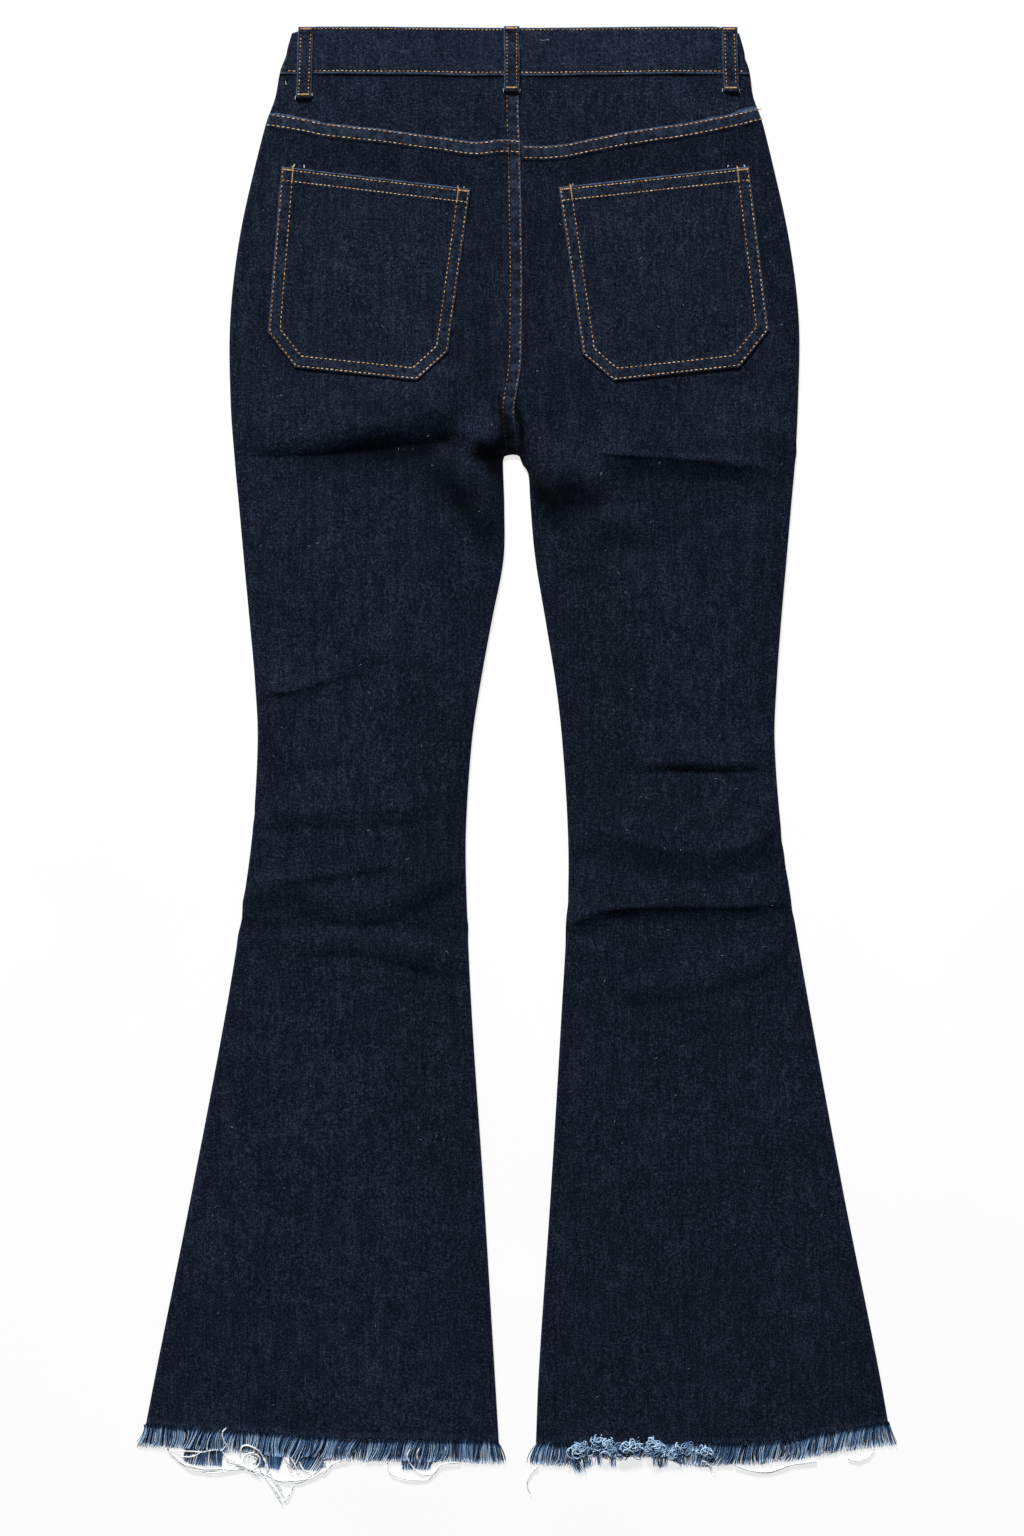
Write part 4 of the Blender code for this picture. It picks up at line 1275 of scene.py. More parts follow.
def satin_marks(start, end, surface, width, pitch=0.5, radius=0.3, lift=0.25):
    """A bartack: close stitches across a short line."""
    start, end = np.array(start, float), np.array(end, float)
    run = end - start
    length = np.linalg.norm(run)
    aside = np.array([-run[1], run[0]]) / length
    ends, tones = [], []
    for i in range(max(2, int(length / pitch))):
        centre = start + run * (i + 0.5) * pitch / length
        lean = (run / length) * (0.35 if i % 2 else -0.35)
        reach = width / 2 * draw.uniform(0.88, 1.12)
        ends.append([centre - aside * reach - lean, centre + aside * reach + lean])
        tones.append(np.clip(draw.normal(0.8, 0.12), 0, 1))
    x, below = np.moveaxis(np.array(ends), -1, 0)
    return lay_marks(x, below, surface(x, below) + lift, np.full(len(x), radius), tones)


def meet(line_a, line_b):
    """Where two lines cross, each given as a point and a direction."""
    (ax, ay), (adx, ady) = line_a
    (bx, by), (bdx, bdy) = line_b
    cross = adx * bdy - ady * bdx
    t = ((bx - ax) * bdy - (by - ay) * bdx) / cross
    return (ax + adx * t, ay + ady * t)


def inset(corners, distances):
    """Corners of a clockwise polygon moved in by one distance for each side."""
    lines = []
    for start, end, distance in zip(corners, corners[1:] + corners[:1], distances):
        run_x, run_below = end.x - start.x, end.below - start.below
        share = distance / math.hypot(run_x, run_below)
        moved = (start.x - run_below * share, start.below + run_x * share)
        lines.append((moved, (run_x, run_below)))
    return [meet(lines[i - 1], lines[i]) for i in range(len(lines))]


def dense(points, step=4.0):
    """The same path with points about one step apart."""
    points = np.array(points, float)
    result = [points[0]]
    for a, b in zip(points, points[1:]):
        count = max(1, int(np.linalg.norm(b - a) / step))
        result += [a + (b - a) * (k + 1) / count for k in range(count)]
    return np.array(result)


def pocket_stitches(name, side, corners):
    surface = partial(pocket_face, side, corners)
    marks = []
    for depth in POCKET_SIDE_ROWS:
        around = inset(corners, [2.5] + [depth] * 5)
        # painted light: the rows along the pocket's bottom are made paler than those down its sides, to
        # stand for the light they catch
        for route, tone in (((0, 5), 0.71), ((5, 4, 3, 2), 0.86), ((2, 1), 0.71)):
            marks += row_marks(dense([around[k] for k in route]), surface, tone=tone)
    for depth in POCKET_TOP_ROWS:
        around = inset(corners, [depth] + [1.2] * 5)
        marks += row_marks(dense([around[0], around[1]]), surface, pitch=3.3, fill=0.66, tone=0.82)
    high = inset(corners, [2.3] + [1.0] * 5)
    inward = inset(corners, [2.3] + [9.6] * 5)
    low = inset(corners, [10.8] + [9.6] * 5)
    for k in (0, 1):
        marks += satin_marks(high[k], inward[k], surface, 1.5)
        marks += satin_marks(inward[k], low[k], surface, 0.9, radius=0.26)
        end = np.array(inward[k])
        marks += satin_marks(end - np.array([0.4, 3.6]), end, surface, 1.2, radius=0.28)
    return thread_marks(name, marks)


def on_band(x, below):
    return band_face(x, below) - ROW_DEPTH


def on_loop(loop, lift, x, below):
    """Height for stitches on a loop; it is the same right across the loop."""
    return loop_height(loop, loop_middle(loop, below), below) + LOOP_THICK + lift


def make_stitches():
    """All the topstitching, as one object for each seam."""
    made = []
    left = float(outer_edge(-1, 20.0)) + 5
    right = float(outer_edge(1, 20.0)) - 5
    marks = []
    for below, widen, pitch, radius in ((1.9, -5.0, 2.9, 0.36), (BAND_HEIGHT - BAND_ROW, 4.0, 3.5, THREAD)):
        path = dense([(left - widen, below), (right + widen, below)])
        path[:, 1] += band_sag(path[:, 0], below)
        marks += row_marks(path, on_band, pitch=pitch, fill=0.6, radius=radius, tone=0.8)
    made.append(thread_marks("stitch_waistband", marks))

    marks = []
    for side in (-1, 1):
        for past, tone in zip(YOKE_ROWS, (0.74, 0.84)):
            start = float(outer_edge(side, 84.0)) - side * 1.6
            end = LAP_EDGE - 1.2 if side < 0 else LAP_EDGE + 1.4
            x = np.linspace(start, end, 60)
            path = np.stack([x, yoke_line(x) + past], 1)
            marks += row_marks(path, partial(back_face, side), pitch=4.05, fill=0.62, tone=tone)
    made.append(thread_marks("stitch_yoke", marks))

    marks = []
    worn = {"radius": 0.37, "tone": 0.5}
    for off in LAP_ROWS:
        below = np.linspace(BAND_HEIGHT + 1, float(yoke_line(off)) - 1.0, 20)
        marks += row_marks(np.stack([seam(below) + off, below], 1), partial(yoke_face, -1), **worn)
        below = np.linspace(float(yoke_line(off)) + 2.0, CROTCH_BELOW - 1.5, 90)
        path = np.stack([seam(below) + off, below], 1)
        # painted shade: the seat's stitches take on the painted shade of the folds round the crotch
        marks += row_marks(path, partial(back_face, -1), shade=partial(painted_fold_shade, -1), **worn)
    made.append(thread_marks("stitch_seat", marks))

    for word, side, corners in SIDES:
        made.append(pocket_stitches("stitch_pocket_" + word, side, corners))

    marks = []
    for loop in LOOPS:
        if not loop.on_back:
            continue
        for off in (-3.8, 3.8):
            path = dense([(loop.x_top + off, loop.above + 2.4), (loop.x_bottom + off, loop.below - 3.2)])
            marks += row_marks(path, partial(on_loop, loop, -0.1), pitch=2.9, fill=0.56)
        for down, x in ((loop.below - 2.8, loop.x_bottom), (loop.above + 1.9, loop.x_top)):
            surface = partial(on_loop, loop, 0.35)
            marks += satin_marks((x - 4.7, down), (x + 4.7, down), surface, 1.5, radius=0.3)
    made.append(thread_marks("stitch_loops", marks))
    return made


# ---------------------------------------------------------------- frayed hems and loose threads


def tubes(name, lines, radii, tones, sides=4):
    """Joins thin tubes along lines of points in millimetres into one object."""
    points, faces, values = [], [], []
    base = 0
    angle = math.tau * np.arange(sides) / sides
    for line, radius, tone in zip(lines, radii, tones):
        line = np.asarray(line, float)
        tangent = np.gradient(line, axis=0)
        tangent /= np.maximum(np.linalg.norm(tangent, axis=1), 1e-6)[:, None]
        aside = np.cross(tangent, [0.0, 0.0, 1.0])
        size = np.linalg.norm(aside, axis=1)
        aside = np.where(size[:, None] > 0.05, aside / np.maximum(size, 1e-6)[:, None], [1.0, 0.0, 0.0])
        up = np.cross(aside, tangent)
        count = len(line)
        thin = radius * (1 - 0.45 * np.linspace(0, 1, count) ** 3)
        ring = (
            line[:, None, :]
            + thin[:, None, None] * (np.cos(angle)[None, :, None] * aside[:, None, :])
            + thin[:, None, None] * (np.sin(angle)[None, :, None] * up[:, None, :])
        )
        points.append(ring.reshape(-1, 3))
        faces += (grid_faces(count, sides, wrap=True) + base).tolist()
        faces.append([base + k for k in range(sides)][::-1])
        faces.append([base + (count - 1) * sides + k for k in range(sides)])
        tone = np.broadcast_to(tone, (count,))
        values.append(np.repeat(tone, sides))
        base += count * sides
    placed = to_metres(*np.concatenate(points).T)
    return mesh_object(name, placed, [face[::-1] for face in faces], {"tone": np.concatenate(values)})


# Where the left front hem's yarn shows below the back's: along the hem from start to end, by this much.
Peep = namedtuple("Peep", "start rise end below")
PEEPS = (
    Peep(-264, 15, -228, 9.5),
    Peep(-206, 5, -179, 9.0),
    Peep(-175, 6, -146, 8.5),
    Peep(-89, 6, -64, 5.0),
)
HIDDEN = 1.2  # elsewhere the front hem's yarn ends this much above the back's


def peeping(x):
    """How far the left front hem's yarn reaches beyond the plain length."""
    reach = np.full(len(x), -HIDDEN)
    for peep in PEEPS:
        shown = ramp(x, peep.start, peep.start + peep.rise) * (1 - ramp(x, peep.end - 3, peep.end))
        reach = reach + (peep.below + HIDDEN) * shown
    return reach


# How a hem's yarn lies: the pitch of its dark bed and of the pale comb over it, how far single yarns stray
# sideways for each millimetre, and the tone of the bed.
Hem = namedtuple("Hem", "bed comb stray bed_tone")
BACK_HEM = Hem(0.5, 0.78, 0.035, 0.17)
FRONT_HEM = Hem(0.9, 1.3, 0.012, 0.27)
PEEP_PITCH = 0.36  # of the extra bed where the front hem's yarn shows
HEM_LEVEL = 1126.0  # the width of the hems is read at this distance below the waist


def comb_lean(x, seed):
    """How the yarn ends lean and curve along a hem: sideways run for each millimetre down, and the bend."""
    still = 0.0 * x
    lean = 0.24 * ripple(x, still, 60.0, seed) + 0.16 * ripple(x, still, 17.0, seed + 1) - 0.26
    bend = 0.5 * ripple(x, still, 30.0, seed + 2) + 0.25 * ripple(x, still, 11.0, seed + 5)
    return lean, bend


def make_fringe(name, side, back, seed):
    """Yarn ends hanging out of a hem: a dark bed of them, with pale ones combed over it.

    Neighbours lean and curve together, and those at the two ends of the hem splay outwards.
    """
    pick = np.random.default_rng(seed)
    kind = BACK_HEM if back else FRONT_HEM
    outer = float(outer_edge(side, HEM_LEVEL))
    inner = float(inner_edge(side, HEM_LEVEL))
    low_x, high_x = min(outer, inner) + 0.5, max(outer, inner) - 0.5
    bed = np.arange(low_x, high_x, kind.bed)
    comb = np.arange(low_x, high_x, kind.comb)
    if side < 0 and not back:
        filled = np.arange(low_x, high_x, PEEP_PITCH)
        bed = np.concatenate([bed, filled[peeping(filled) > 0]])
    roots = np.concatenate([bed, comb]) + pick.normal(0, 0.12, len(bed) + len(comb))
    over_bed = np.concatenate([np.zeros(len(bed)), np.ones(len(comb))])  # 1 for the yarn of the comb
    lean, bend = comb_lean(roots, 900 + 10 * side)
    still = 0 * roots
    from_middle = (roots - (low_x + high_x) / 2) / ((high_x - low_x) / 2)
    ends = np.clip(np.abs(from_middle), 0, 1)
    lean = lean * (1 - ends**6)
    splay = 0.4 * np.sign(from_middle) * ends**14
    stripe = ripple(roots, still, 2.7, seed + 3)
    unevenness = ripple(roots, still, 46.0, seed + 4)
    under_curls = ramp(roots, 46, 58) * (1 - ramp(roots, 112, 150)) if side > 0 else still
    peep = peeping(roots) if side < 0 else still - HIDDEN
    if back:
        starts = hem_line(roots) - pick.uniform(0.2, 2.6, len(roots))
    else:
        starts = hem_line(roots) + FRONT_HEM_DROP - 1.0
    cloth_tops = back_base(side, roots, np.minimum(starts, hem_line(roots) - 2))
    lines, radii, tones = [], [], []
    steps = np.linspace(0, 1, 6)  # along one yarn
    for i, x in enumerate(roots):
        hem = float(hem_line(x)) + (0.0 if back else FRONT_HEM_DROP)
        start = starts[i]
        reach = FRINGE_LENGTH - 0.8 + 0.9 * unevenness[i] + pick.normal(0, 0.45) - 0.7 * (1 - over_bed[i])
        reach = (reach + (0.0 if back else peep[i])) * (1 - 0.5 * under_curls[i]) + hem - start
        slope = lean[i] + splay[i] + pick.normal(0, kind.stray)
        curve = bend[i] + pick.normal(0, 1.4 * kind.stray)
        over = x + reach * (slope * steps + curve * (steps**2 - steps))
        down = start + reach * steps * math.cos(min(abs(slope), 1.0) * 0.6)
        if back:
            high = cloth_tops[i] + 0.1 + 0.35 * over_bed[i]
            rest = pick.uniform(0.7, 1.3) + over_bed[i] * pick.uniform(0.7, 1.5)
            up = high + (rest - high) * steps**0.8 + 0.5 * over_bed[i] * np.sin(math.pi * steps)
        else:
            up = pick.uniform(0.35, 0.7) + 0.4 * over_bed[i] + 0.2 * np.sin(math.pi * steps)
        lines.append(np.stack([over, down, np.maximum(up, 0.35)], 1))
        if over_bed[i]:
            radii.append(pick.uniform(0.26, 0.42))
            pale = 0.62 + (0.36 if side > 0 else 0.46) * stripe[i] + pick.normal(0, 0.2)
            pale = pale if back else 0.40 + 0.3 * (pale - 0.6)
            tones.append(np.clip(pale * (0.58 + 0.62 * steps**0.6), 0.04, 1))
        else:
            radii.append(pick.uniform(0.3, 0.36))
            tones.append(np.clip(pick.normal(kind.bed_tone, 0.07), 0.02, 1))
    return tubes(name, lines, radii, tones)


# Short tufts that hang out below the curls.
Tuft = namedtuple("Tuft", "x yarns spread run length")
TUFTS = (
    Tuft(46, 26, 1.6, 6.0, 9.5),
    Tuft(55, 10, 1.0, 2.0, 6.0),
    Tuft(59, 12, 1.2, 0.0, 5.0),
    Tuft(66, 8, 1.2, 1.0, 4.0),
    Tuft(77, 12, 2.2, 1.0, 4.5),
    Tuft(113, 12, 1.6, 1.0, 4.5),
    Tuft(119, 14, 1.8, 0.5, 5.5),
    Tuft(131, 12, 1.2, 2.0, 3.5),
)


CURL_COUNT = 700
CURL_START = 44
CURL_END = 156


def make_curls(name):
    """On the right leg a stretch of the fringe is rolled up into knotted curls over the hem.

    Two in five curls are pale yarn on top, and the others are dark yarn inside. The tufts come last.
    """
    pick = np.random.default_rng(61)
    lines, radii, tones = [], [], []
    knots = np.cumsum(pick.uniform(5.0, 15.0, 11)) + CURL_START - 2.0
    for number in range(CURL_COUNT):
        x = pick.uniform(CURL_START, CURL_END)
        knot = knots[np.abs(knots - x).argmin()]
        x = x + 0.22 * (knot - x)
        on_top = number % 5 < 2
        thickness = 1 - 0.5 * float(ramp(x, 100, CURL_END))
        middle = float(hem_line(x)) + 0.9 + 2.5 * float(ramp(x, 90, 150)) + 2.0 * math.sin(x / 6.0)
        centre = middle + pick.normal(0, 3.4 if on_top else 2.4) * thickness
        width = pick.uniform(1.6, 5.0 if on_top else 3.6) * (0.6 + 0.4 * thickness)
        depth = pick.uniform(1.2, 4.2 if on_top else 3.0) * thickness
        start = pick.uniform(0, math.tau)
        sweep = pick.uniform(2.0, 5.6) * pick.choice([-1, 1])
        tilt = pick.normal(0.0, 0.7)
        turn = start + sweep * np.linspace(0, 1, 9)
        around = width * np.cos(turn)
        out = depth * np.sin(turn)
        over = x + around * math.cos(tilt) - out * math.sin(tilt)
        down = centre + around * math.sin(tilt) + out * math.cos(tilt)
        dome = np.clip(1 - ((down - middle) / 11.0) ** 2, 0, 1) ** 0.5
        crown = (4.6 + 1.5 * math.sin(x / 3.4)) * (0.55 + 0.45 * thickness)
        up = 0.8 + dome * crown + 0.8 * np.sin(turn * 0.5)
        up = up - (pick.uniform(0, 0.7) if on_top else 1.5)
        lines.append(np.stack([over, down, np.maximum(up, 0.5)], 1))
        radii.append(pick.uniform(0.30, 0.46) if on_top else 0.5)
        tone = pick.normal(0.88, 0.2) if on_top else pick.normal(0.14, 0.1)
        tones.append(np.clip(tone, 0.03, 1.0))
    share = np.linspace(0, 1, 6)
    for tuft in TUFTS:
        for _ in range(tuft.yarns):
            over = tuft.x + pick.normal(0, tuft.spread) + (tuft.run + pick.normal(0, 1.0)) * share
            down = float(hem_line(tuft.x)) + 8.0 + (tuft.length + 4.0) * share + pick.normal(0, 0.7)
            lines.append(np.stack([over, down, 2.6 - 1.6 * share], 1))
            radii.append(0.3)
            tones.append(np.clip(pick.normal(0.66, 0.22), 0.1, 1.0))
    return tubes(name, lines, radii, tones)


# Bundles of loose white weft: the points that each passes, how many yarns, and how far they stray.
Bundle = namedtuple("Bundle", "route yarns stray")
BUNDLES = (
    # Left hem: the long loop at its outer end, and the yarn over the gap.
    Bundle(
        (
            (-278, 1137), (-273, 1143), (-266, 1149), (-257, 1153), (-244.5, 1155), (-227, 1153.6),
            (-217, 1152),
        ),
        9, 1.5,
    ),
    Bundle(((-275, 1139), (-263, 1139.2), (-249, 1140), (-238.7, 1137.8)), 4, 0.6),
    Bundle(((-267.5, 1144), (-259, 1143.4), (-252, 1141)), 3, 0.6),
    # The strand over the comb, the arch, and the knot with its rings.
    Bundle(((-230.8, 1120.2), (-233.7, 1124), (-232.7, 1130.6), (-230.8, 1134.2), (-234.4, 1138.5)), 6, 0.4),
    Bundle(((-234.4, 1138.5), (-230, 1145), (-224.3, 1146.4)), 6, 0.7),
    Bundle(
        (
            (-220, 1146.4), (-219.3, 1137.8), (-215.7, 1134.2), (-210, 1135.6), (-204.2, 1140),
            (-199.8, 1147.8),
        ),
        7, 0.5,
    ),
    Bundle(((-202, 1143), (-199, 1150), (-197, 1158)), 6, 1.0),
    Bundle(
        (
            (-218.6, 1147.8), (-214.2, 1141.4), (-207, 1141.4), (-204.2, 1147.8), (-210, 1153.6),
            (-217, 1152),
        ),
        6, 1.1,
    ),
    Bundle(((-214.2, 1146.4), (-211.4, 1142.8), (-207, 1145.7), (-210, 1150)), 4, 0.8),
    Bundle(((-230, 1147), (-223, 1149.6), (-211.4, 1155), (-202.7, 1158)), 10, 2.0),
    # The tail below the knot.
    Bundle(((-204.2, 1155), (-198.4, 1161), (-192.6, 1169.4), (-189.8, 1175.2), (-186.2, 1181)), 8, 1.2),
    Bundle(((-196, 1158), (-191, 1165), (-187, 1172), (-184.7, 1179.5)), 5, 1.3),
    Bundle(((-176.8, 1167.3), (-180.4, 1173.8), (-184.7, 1179.5)), 3, 0.7),
    # The loop to its right, and the tufts that rise from it.
    Bundle(
        (
            (-198.4, 1158.6), (-191, 1162.2), (-182.6, 1163.7), (-171, 1163), (-162.4, 1159.4),
            (-148, 1151.4),
        ),
        9, 1.5,
    ),
    Bundle(((-185.4, 1144.2), (-181.8, 1149.3), (-178.2, 1158)), 6, 0.9),
    Bundle(((-179, 1144.2), (-175.4, 1152.2), (-171.8, 1158)), 6, 0.9),
    Bundle(((-172.5, 1147.8), (-169.6, 1153.6), (-163.8, 1157.2)), 5, 0.8),
    Bundle(((-152.3, 1145), (-152, 1152.2)), 4, 0.6),
    Bundle(((-153.6, 1157.7), (-145.8, 1150), (-134.5, 1144.6)), 6, 0.8),
    # The thin loops further in.
    Bundle(((-102, 1148.3), (-100.5, 1156), (-89.6, 1160.8), (-71, 1162.4), (-66.2, 1159.2)), 3, 0.5),
    Bundle(
        ((-83.4, 1135.8), (-86, 1145.2), (-77, 1156), (-66.2, 1157.7), (-58.4, 1150), (-44.4, 1148.3)),
        5, 0.5,
    ),
    Bundle(((-76, 1136), (-78.5, 1142), (-76, 1148)), 3, 0.4),
    # Right hem: the thread at its inner end, the tuft past the curls, and the loops further out.
    Bundle(((18, 1152), (12, 1157.7), (9.6, 1165.5), (12.7, 1174.2)), 4, 0.7),
    Bundle(((150, 1146), (154, 1150), (160, 1157)), 5, 1.6),
    Bundle(((175.6, 1150), (188, 1154.6), (203.7, 1156), (222.4, 1150), (241, 1147.7)), 6, 0.7),
    Bundle(((266, 1145.2), (274, 1147), (282, 1144), (287, 1138)), 4, 0.6),
)


def make_threads(name):
    """The bundles of loose weft: each yarn strays from its bundle's route, more and more to its end."""
    pick = np.random.default_rng(71)
    lines, radii, tones = [], [], []
    share = np.linspace(0, 1, 22)
    for bundle in BUNDLES:
        route = through(bundle.route, len(share))
        for _ in range(bundle.yarns):
            stray = bundle.stray * (0.4 + share)
            wave = pick.uniform(0, math.tau, 4)
            dx = stray * np.sin(share * pick.uniform(4, 11) + wave[0]) * pick.uniform(0.4, 1)
            dy = stray * np.sin(share * pick.uniform(4, 11) + wave[1]) * pick.uniform(0.4, 1)
            hem = hem_line(route[:, 0])
            over_cloth = 1 - ramp(route[:, 1] - hem, 4, 22)
            up = 0.52 + 3.0 * over_cloth + 0.5 * (1 + np.sin(share * 8 + wave[2]))
            lines.append(np.stack([route[:, 0] + dx, route[:, 1] + dy, up], 1))
            radii.append(pick.uniform(0.36, 0.50))
            tones.append(np.clip(pick.normal(0.93, 0.12), 0, 1))
    return tubes(name, lines, radii, tones)


# Cut thread ends at the pockets' upper corners; size is a share of the longest.
ThreadEnd = namedtuple("ThreadEnd", "x below size", defaults=(1.0,))
POCKET_ENDS = (
    ThreadEnd(-176.6, 111.6, 0.8),
    ThreadEnd(-168.6, 112.2, 0.9),
    ThreadEnd(-41, 129.0, 0.4),
    ThreadEnd(46, 126.6, 0.4),
    ThreadEnd(170, 112.0, 0.5),
    ThreadEnd(183, 111.8, 0.6),
)
# Those beside the lower ends of the loops, and a row of small marks on the waistband.
LOOP_ENDS = (
    ThreadEnd(165.6, 51.4),
    ThreadEnd(179.4, 51.6),
    ThreadEnd(-9.2, 52.0),
    ThreadEnd(4.0, 52.2),
    ThreadEnd(-175.4, 57.2),
    ThreadEnd(-162.0, 55.0),
    ThreadEnd(-183, 45.4),
)
BAND_MARKS = (
    ThreadEnd(20.6, 12.0),
    ThreadEnd(22.6, 12.2),
    ThreadEnd(24.6, 12.0),
    ThreadEnd(26.6, 11.8),
)
FIBRE_COUNT = 130


def make_lint(name):
    """A few pale fibres on the cloth, and cut thread ends at the pockets and the loops."""
    pick = np.random.default_rng(83)
    lines, radii, tones = [], [], []

    def fibre(x, below, length, angle, height, radius, tone):
        share = np.linspace(-0.5, 0.5, 6)
        bend = pick.normal(0, 0.2)
        over = x + length * share * math.cos(angle)
        down = below + length * share * math.sin(angle) + length * bend * share**2
        lines.append(np.stack([over, down, height + 0 * share], 1))
        radii.append(radius)
        tones.append(tone)

    def cloth_height(end):
        side = -1 if end.x < 0 else 1
        return float(back_base(side, np.array([end.x]), np.array([end.below]))[0])

    for _ in range(FIBRE_COUNT):
        side = pick.choice([-1, 1])
        below = pick.uniform(110, 1115)
        outer = float(outer_edge(side, below))
        inner = float(back_inner(side, below)) + side * 8
        x = inner + (outer - inner) * pick.uniform(0.04, 0.96)
        height = float(back_face(side, np.array([x]), np.array([below]))[0]) + 0.05
        for corners in (LEFT_POCKET, RIGHT_POCKET):
            inside = min(float(d) for d in polygon_distance(corners, np.array(x), np.array(below)))
            if inside > 0:
                height = float(pocket_face(side, corners, np.array([x]), np.array([below]))[0]) + 0.05
        length = pick.uniform(0.8, 2.6)
        angle = pick.uniform(0, math.pi)
        fibre(x, below, length, angle, height, 0.075, pick.uniform(0.0, 0.4))
    for mark in BAND_MARKS:
        fibre(*mark[:2], 1.2, 0.1, float(band_face(mark.x, mark.below)) + 0.1, 0.17, 0.4)
    for end in POCKET_ENDS:
        height = cloth_height(end) + 1.2
        fibre(end.x, end.below, 3.0 * end.size, pick.uniform(1.2, 2.0), height, 0.25, 0.95)
        fibre(end.x + 0.5, end.below - 0.2, 2.0 * end.size, pick.uniform(1.2, 2.0), height, 0.22, 0.95)
    for end in LOOP_ENDS:
        fibre(end.x, end.below, 3.0, pick.uniform(1.1, 2.0), cloth_height(end) + 1.0, 0.24, 0.9)
    return tubes(name, lines, radii, tones)


# ---------------------------------------------------------------- materials


class Nodes:
    """Short calls for building one material's nodes."""

    def __init__(self, name):
        self.material = bpy.data.materials.new(name)
        self.material.use_nodes = True
        self.tree = self.material.node_tree
        self.shader = self.tree.nodes["Principled BSDF"]

    def add(self, kind, **settings):
        node = self.tree.nodes.new(kind)
        for key, value in settings.items():
            setattr(node, key, value)
        return node

    def link(self, output, target):
        self.tree.links.new(output, target)

    def put(self, value, socket):
        """Sets a socket to a number or a colour, or links a node's output to it."""
        if isinstance(value, (int, float)):
            socket.default_value = value
        elif isinstance(value, tuple):
            socket.default_value = (*value, 1.0)
        else:
            self.link(value, socket)

    def place(self):
        """Positions in millimetres."""
        where = self.add("ShaderNodeTexCoord")
        scale = self.add("ShaderNodeVectorMath", operation="SCALE")
        scale.inputs["Scale"].default_value = 1 / MM
        self.link(where.outputs["Object"], scale.inputs[0])
        return scale.outputs[0]

    def stretch(self, vector, x, y, z, turn=0.0):
        mapping = self.add("ShaderNodeMapping", vector_type="POINT")
        mapping.inputs["Rotation"].default_value = (0, 0, turn)
        mapping.inputs["Scale"].default_value = (x, y, z)
        self.link(vector, mapping.inputs["Vector"])
        return mapping.outputs[0]

    def noise(self, vector, scale, detail=2.0, roughness=0.5, distortion=0.0):
        node = self.add("ShaderNodeTexNoise")
        node.inputs["Scale"].default_value = scale
        node.inputs["Detail"].default_value = detail
        node.inputs["Roughness"].default_value = roughness
        node.inputs["Distortion"].default_value = distortion
        self.link(vector, node.inputs["Vector"])
        return node.outputs["Fac"]

    def math(self, operation, a, b, clamp=False):
        node = self.add("ShaderNodeMath", operation=operation, use_clamp=clamp)
        self.put(a, node.inputs[0])
        self.put(b, node.inputs[1])
        return node.outputs[0]

    def spread(self, value, low, high, to_low=0.0, to_high=1.0):
        node = self.add("ShaderNodeMapRange", clamp=True)
        self.link(value, node.inputs["Value"])
        for key, number in (("From Min", low), ("From Max", high), ("To Min", to_low), ("To Max", to_high)):
            node.inputs[key].default_value = number
        return node.outputs[0]

    def mix(self, share, a, b):
        """One colour changes to another; the node's colour sockets come after those for numbers."""
        node = self.add("ShaderNodeMix", data_type="RGBA")
        for socket, value in zip((0, 6, 7), (share, a, b)):
            self.put(value, node.inputs[socket])
        return node.outputs[2]

    def shades(self, tone, stops):
        """A colour for each tone; a stop is its position and its colour."""
        node = self.add("ShaderNodeValToRGB")
        elements = node.color_ramp.elements
        for element, (position, colour) in zip(elements, (stops[0], stops[-1])):
            element.position = position
            element.color = (*colour, 1)
        for position, colour in stops[1:-1]:
            elements.new(position).color = (*colour, 1)
        self.link(tone, node.inputs[0])
        return node.outputs[0]

    def attribute(self, name):
        node = self.add("ShaderNodeAttribute", attribute_name=name)
        return node.outputs["Fac"]

    def bump(self, height, strength, distance):
        node = self.add("ShaderNodeBump")
        node.inputs["Strength"].default_value = strength
        node.inputs["Distance"].default_value = distance
        self.link(height, node.inputs["Height"])
        self.link(node.outputs[0], self.shader.inputs["Normal"])

    def finish(self, colour, roughness, specular, sheen=0.0):
        for name, value in (
            ("Base Color", colour),
            ("Roughness", roughness),
            ("Specular IOR Level", specular),
            ("Sheen Weight", sheen),
            ("Sheen Roughness", 0.5),
        ):
            self.put(value, self.shader.inputs[name])
        return self.material


# The shades of the denim from its darkest to its specks, then of worn edges, of the painted shade in the
# folds and of the inside.
INDIGO_DEEP = (0.0020, 0.0031, 0.0088)
INDIGO = (0.0047, 0.0074, 0.0166)
INDIGO_PALE = (0.0110, 0.0166, 0.0318)
FLECK = (0.0285, 0.039, 0.0605)
WORN = (0.085, 0.135, 0.225)
PAINTED_SHADE_COLOUR = (0.0006, 0.0009, 0.0018)
REVERSE = (0.085, 0.105, 0.135)

# The shades of thread and yarn from tone 0 to tone 1.
TOPSTITCH_STOPS = (
    (0.003, 0.003, 0.005),
    (0.09, 0.035, 0.014),
    (0.30, 0.13, 0.045),
    (0.52, 0.28, 0.11),
    (0.70, 0.50, 0.30),
)
FRINGE_STOPS = (
    (0.006, 0.014, 0.038),
    (0.030, 0.075, 0.175),
    (0.15, 0.29, 0.52),
    (0.56, 0.76, 0.96),
)
WEFT_STOPS = (
    (0.40, 0.47, 0.54),
    (0.74, 0.79, 0.84),
    (0.95, 0.97, 0.98),
)


def times(factor, colour):
    return tuple(factor * part for part in colour)


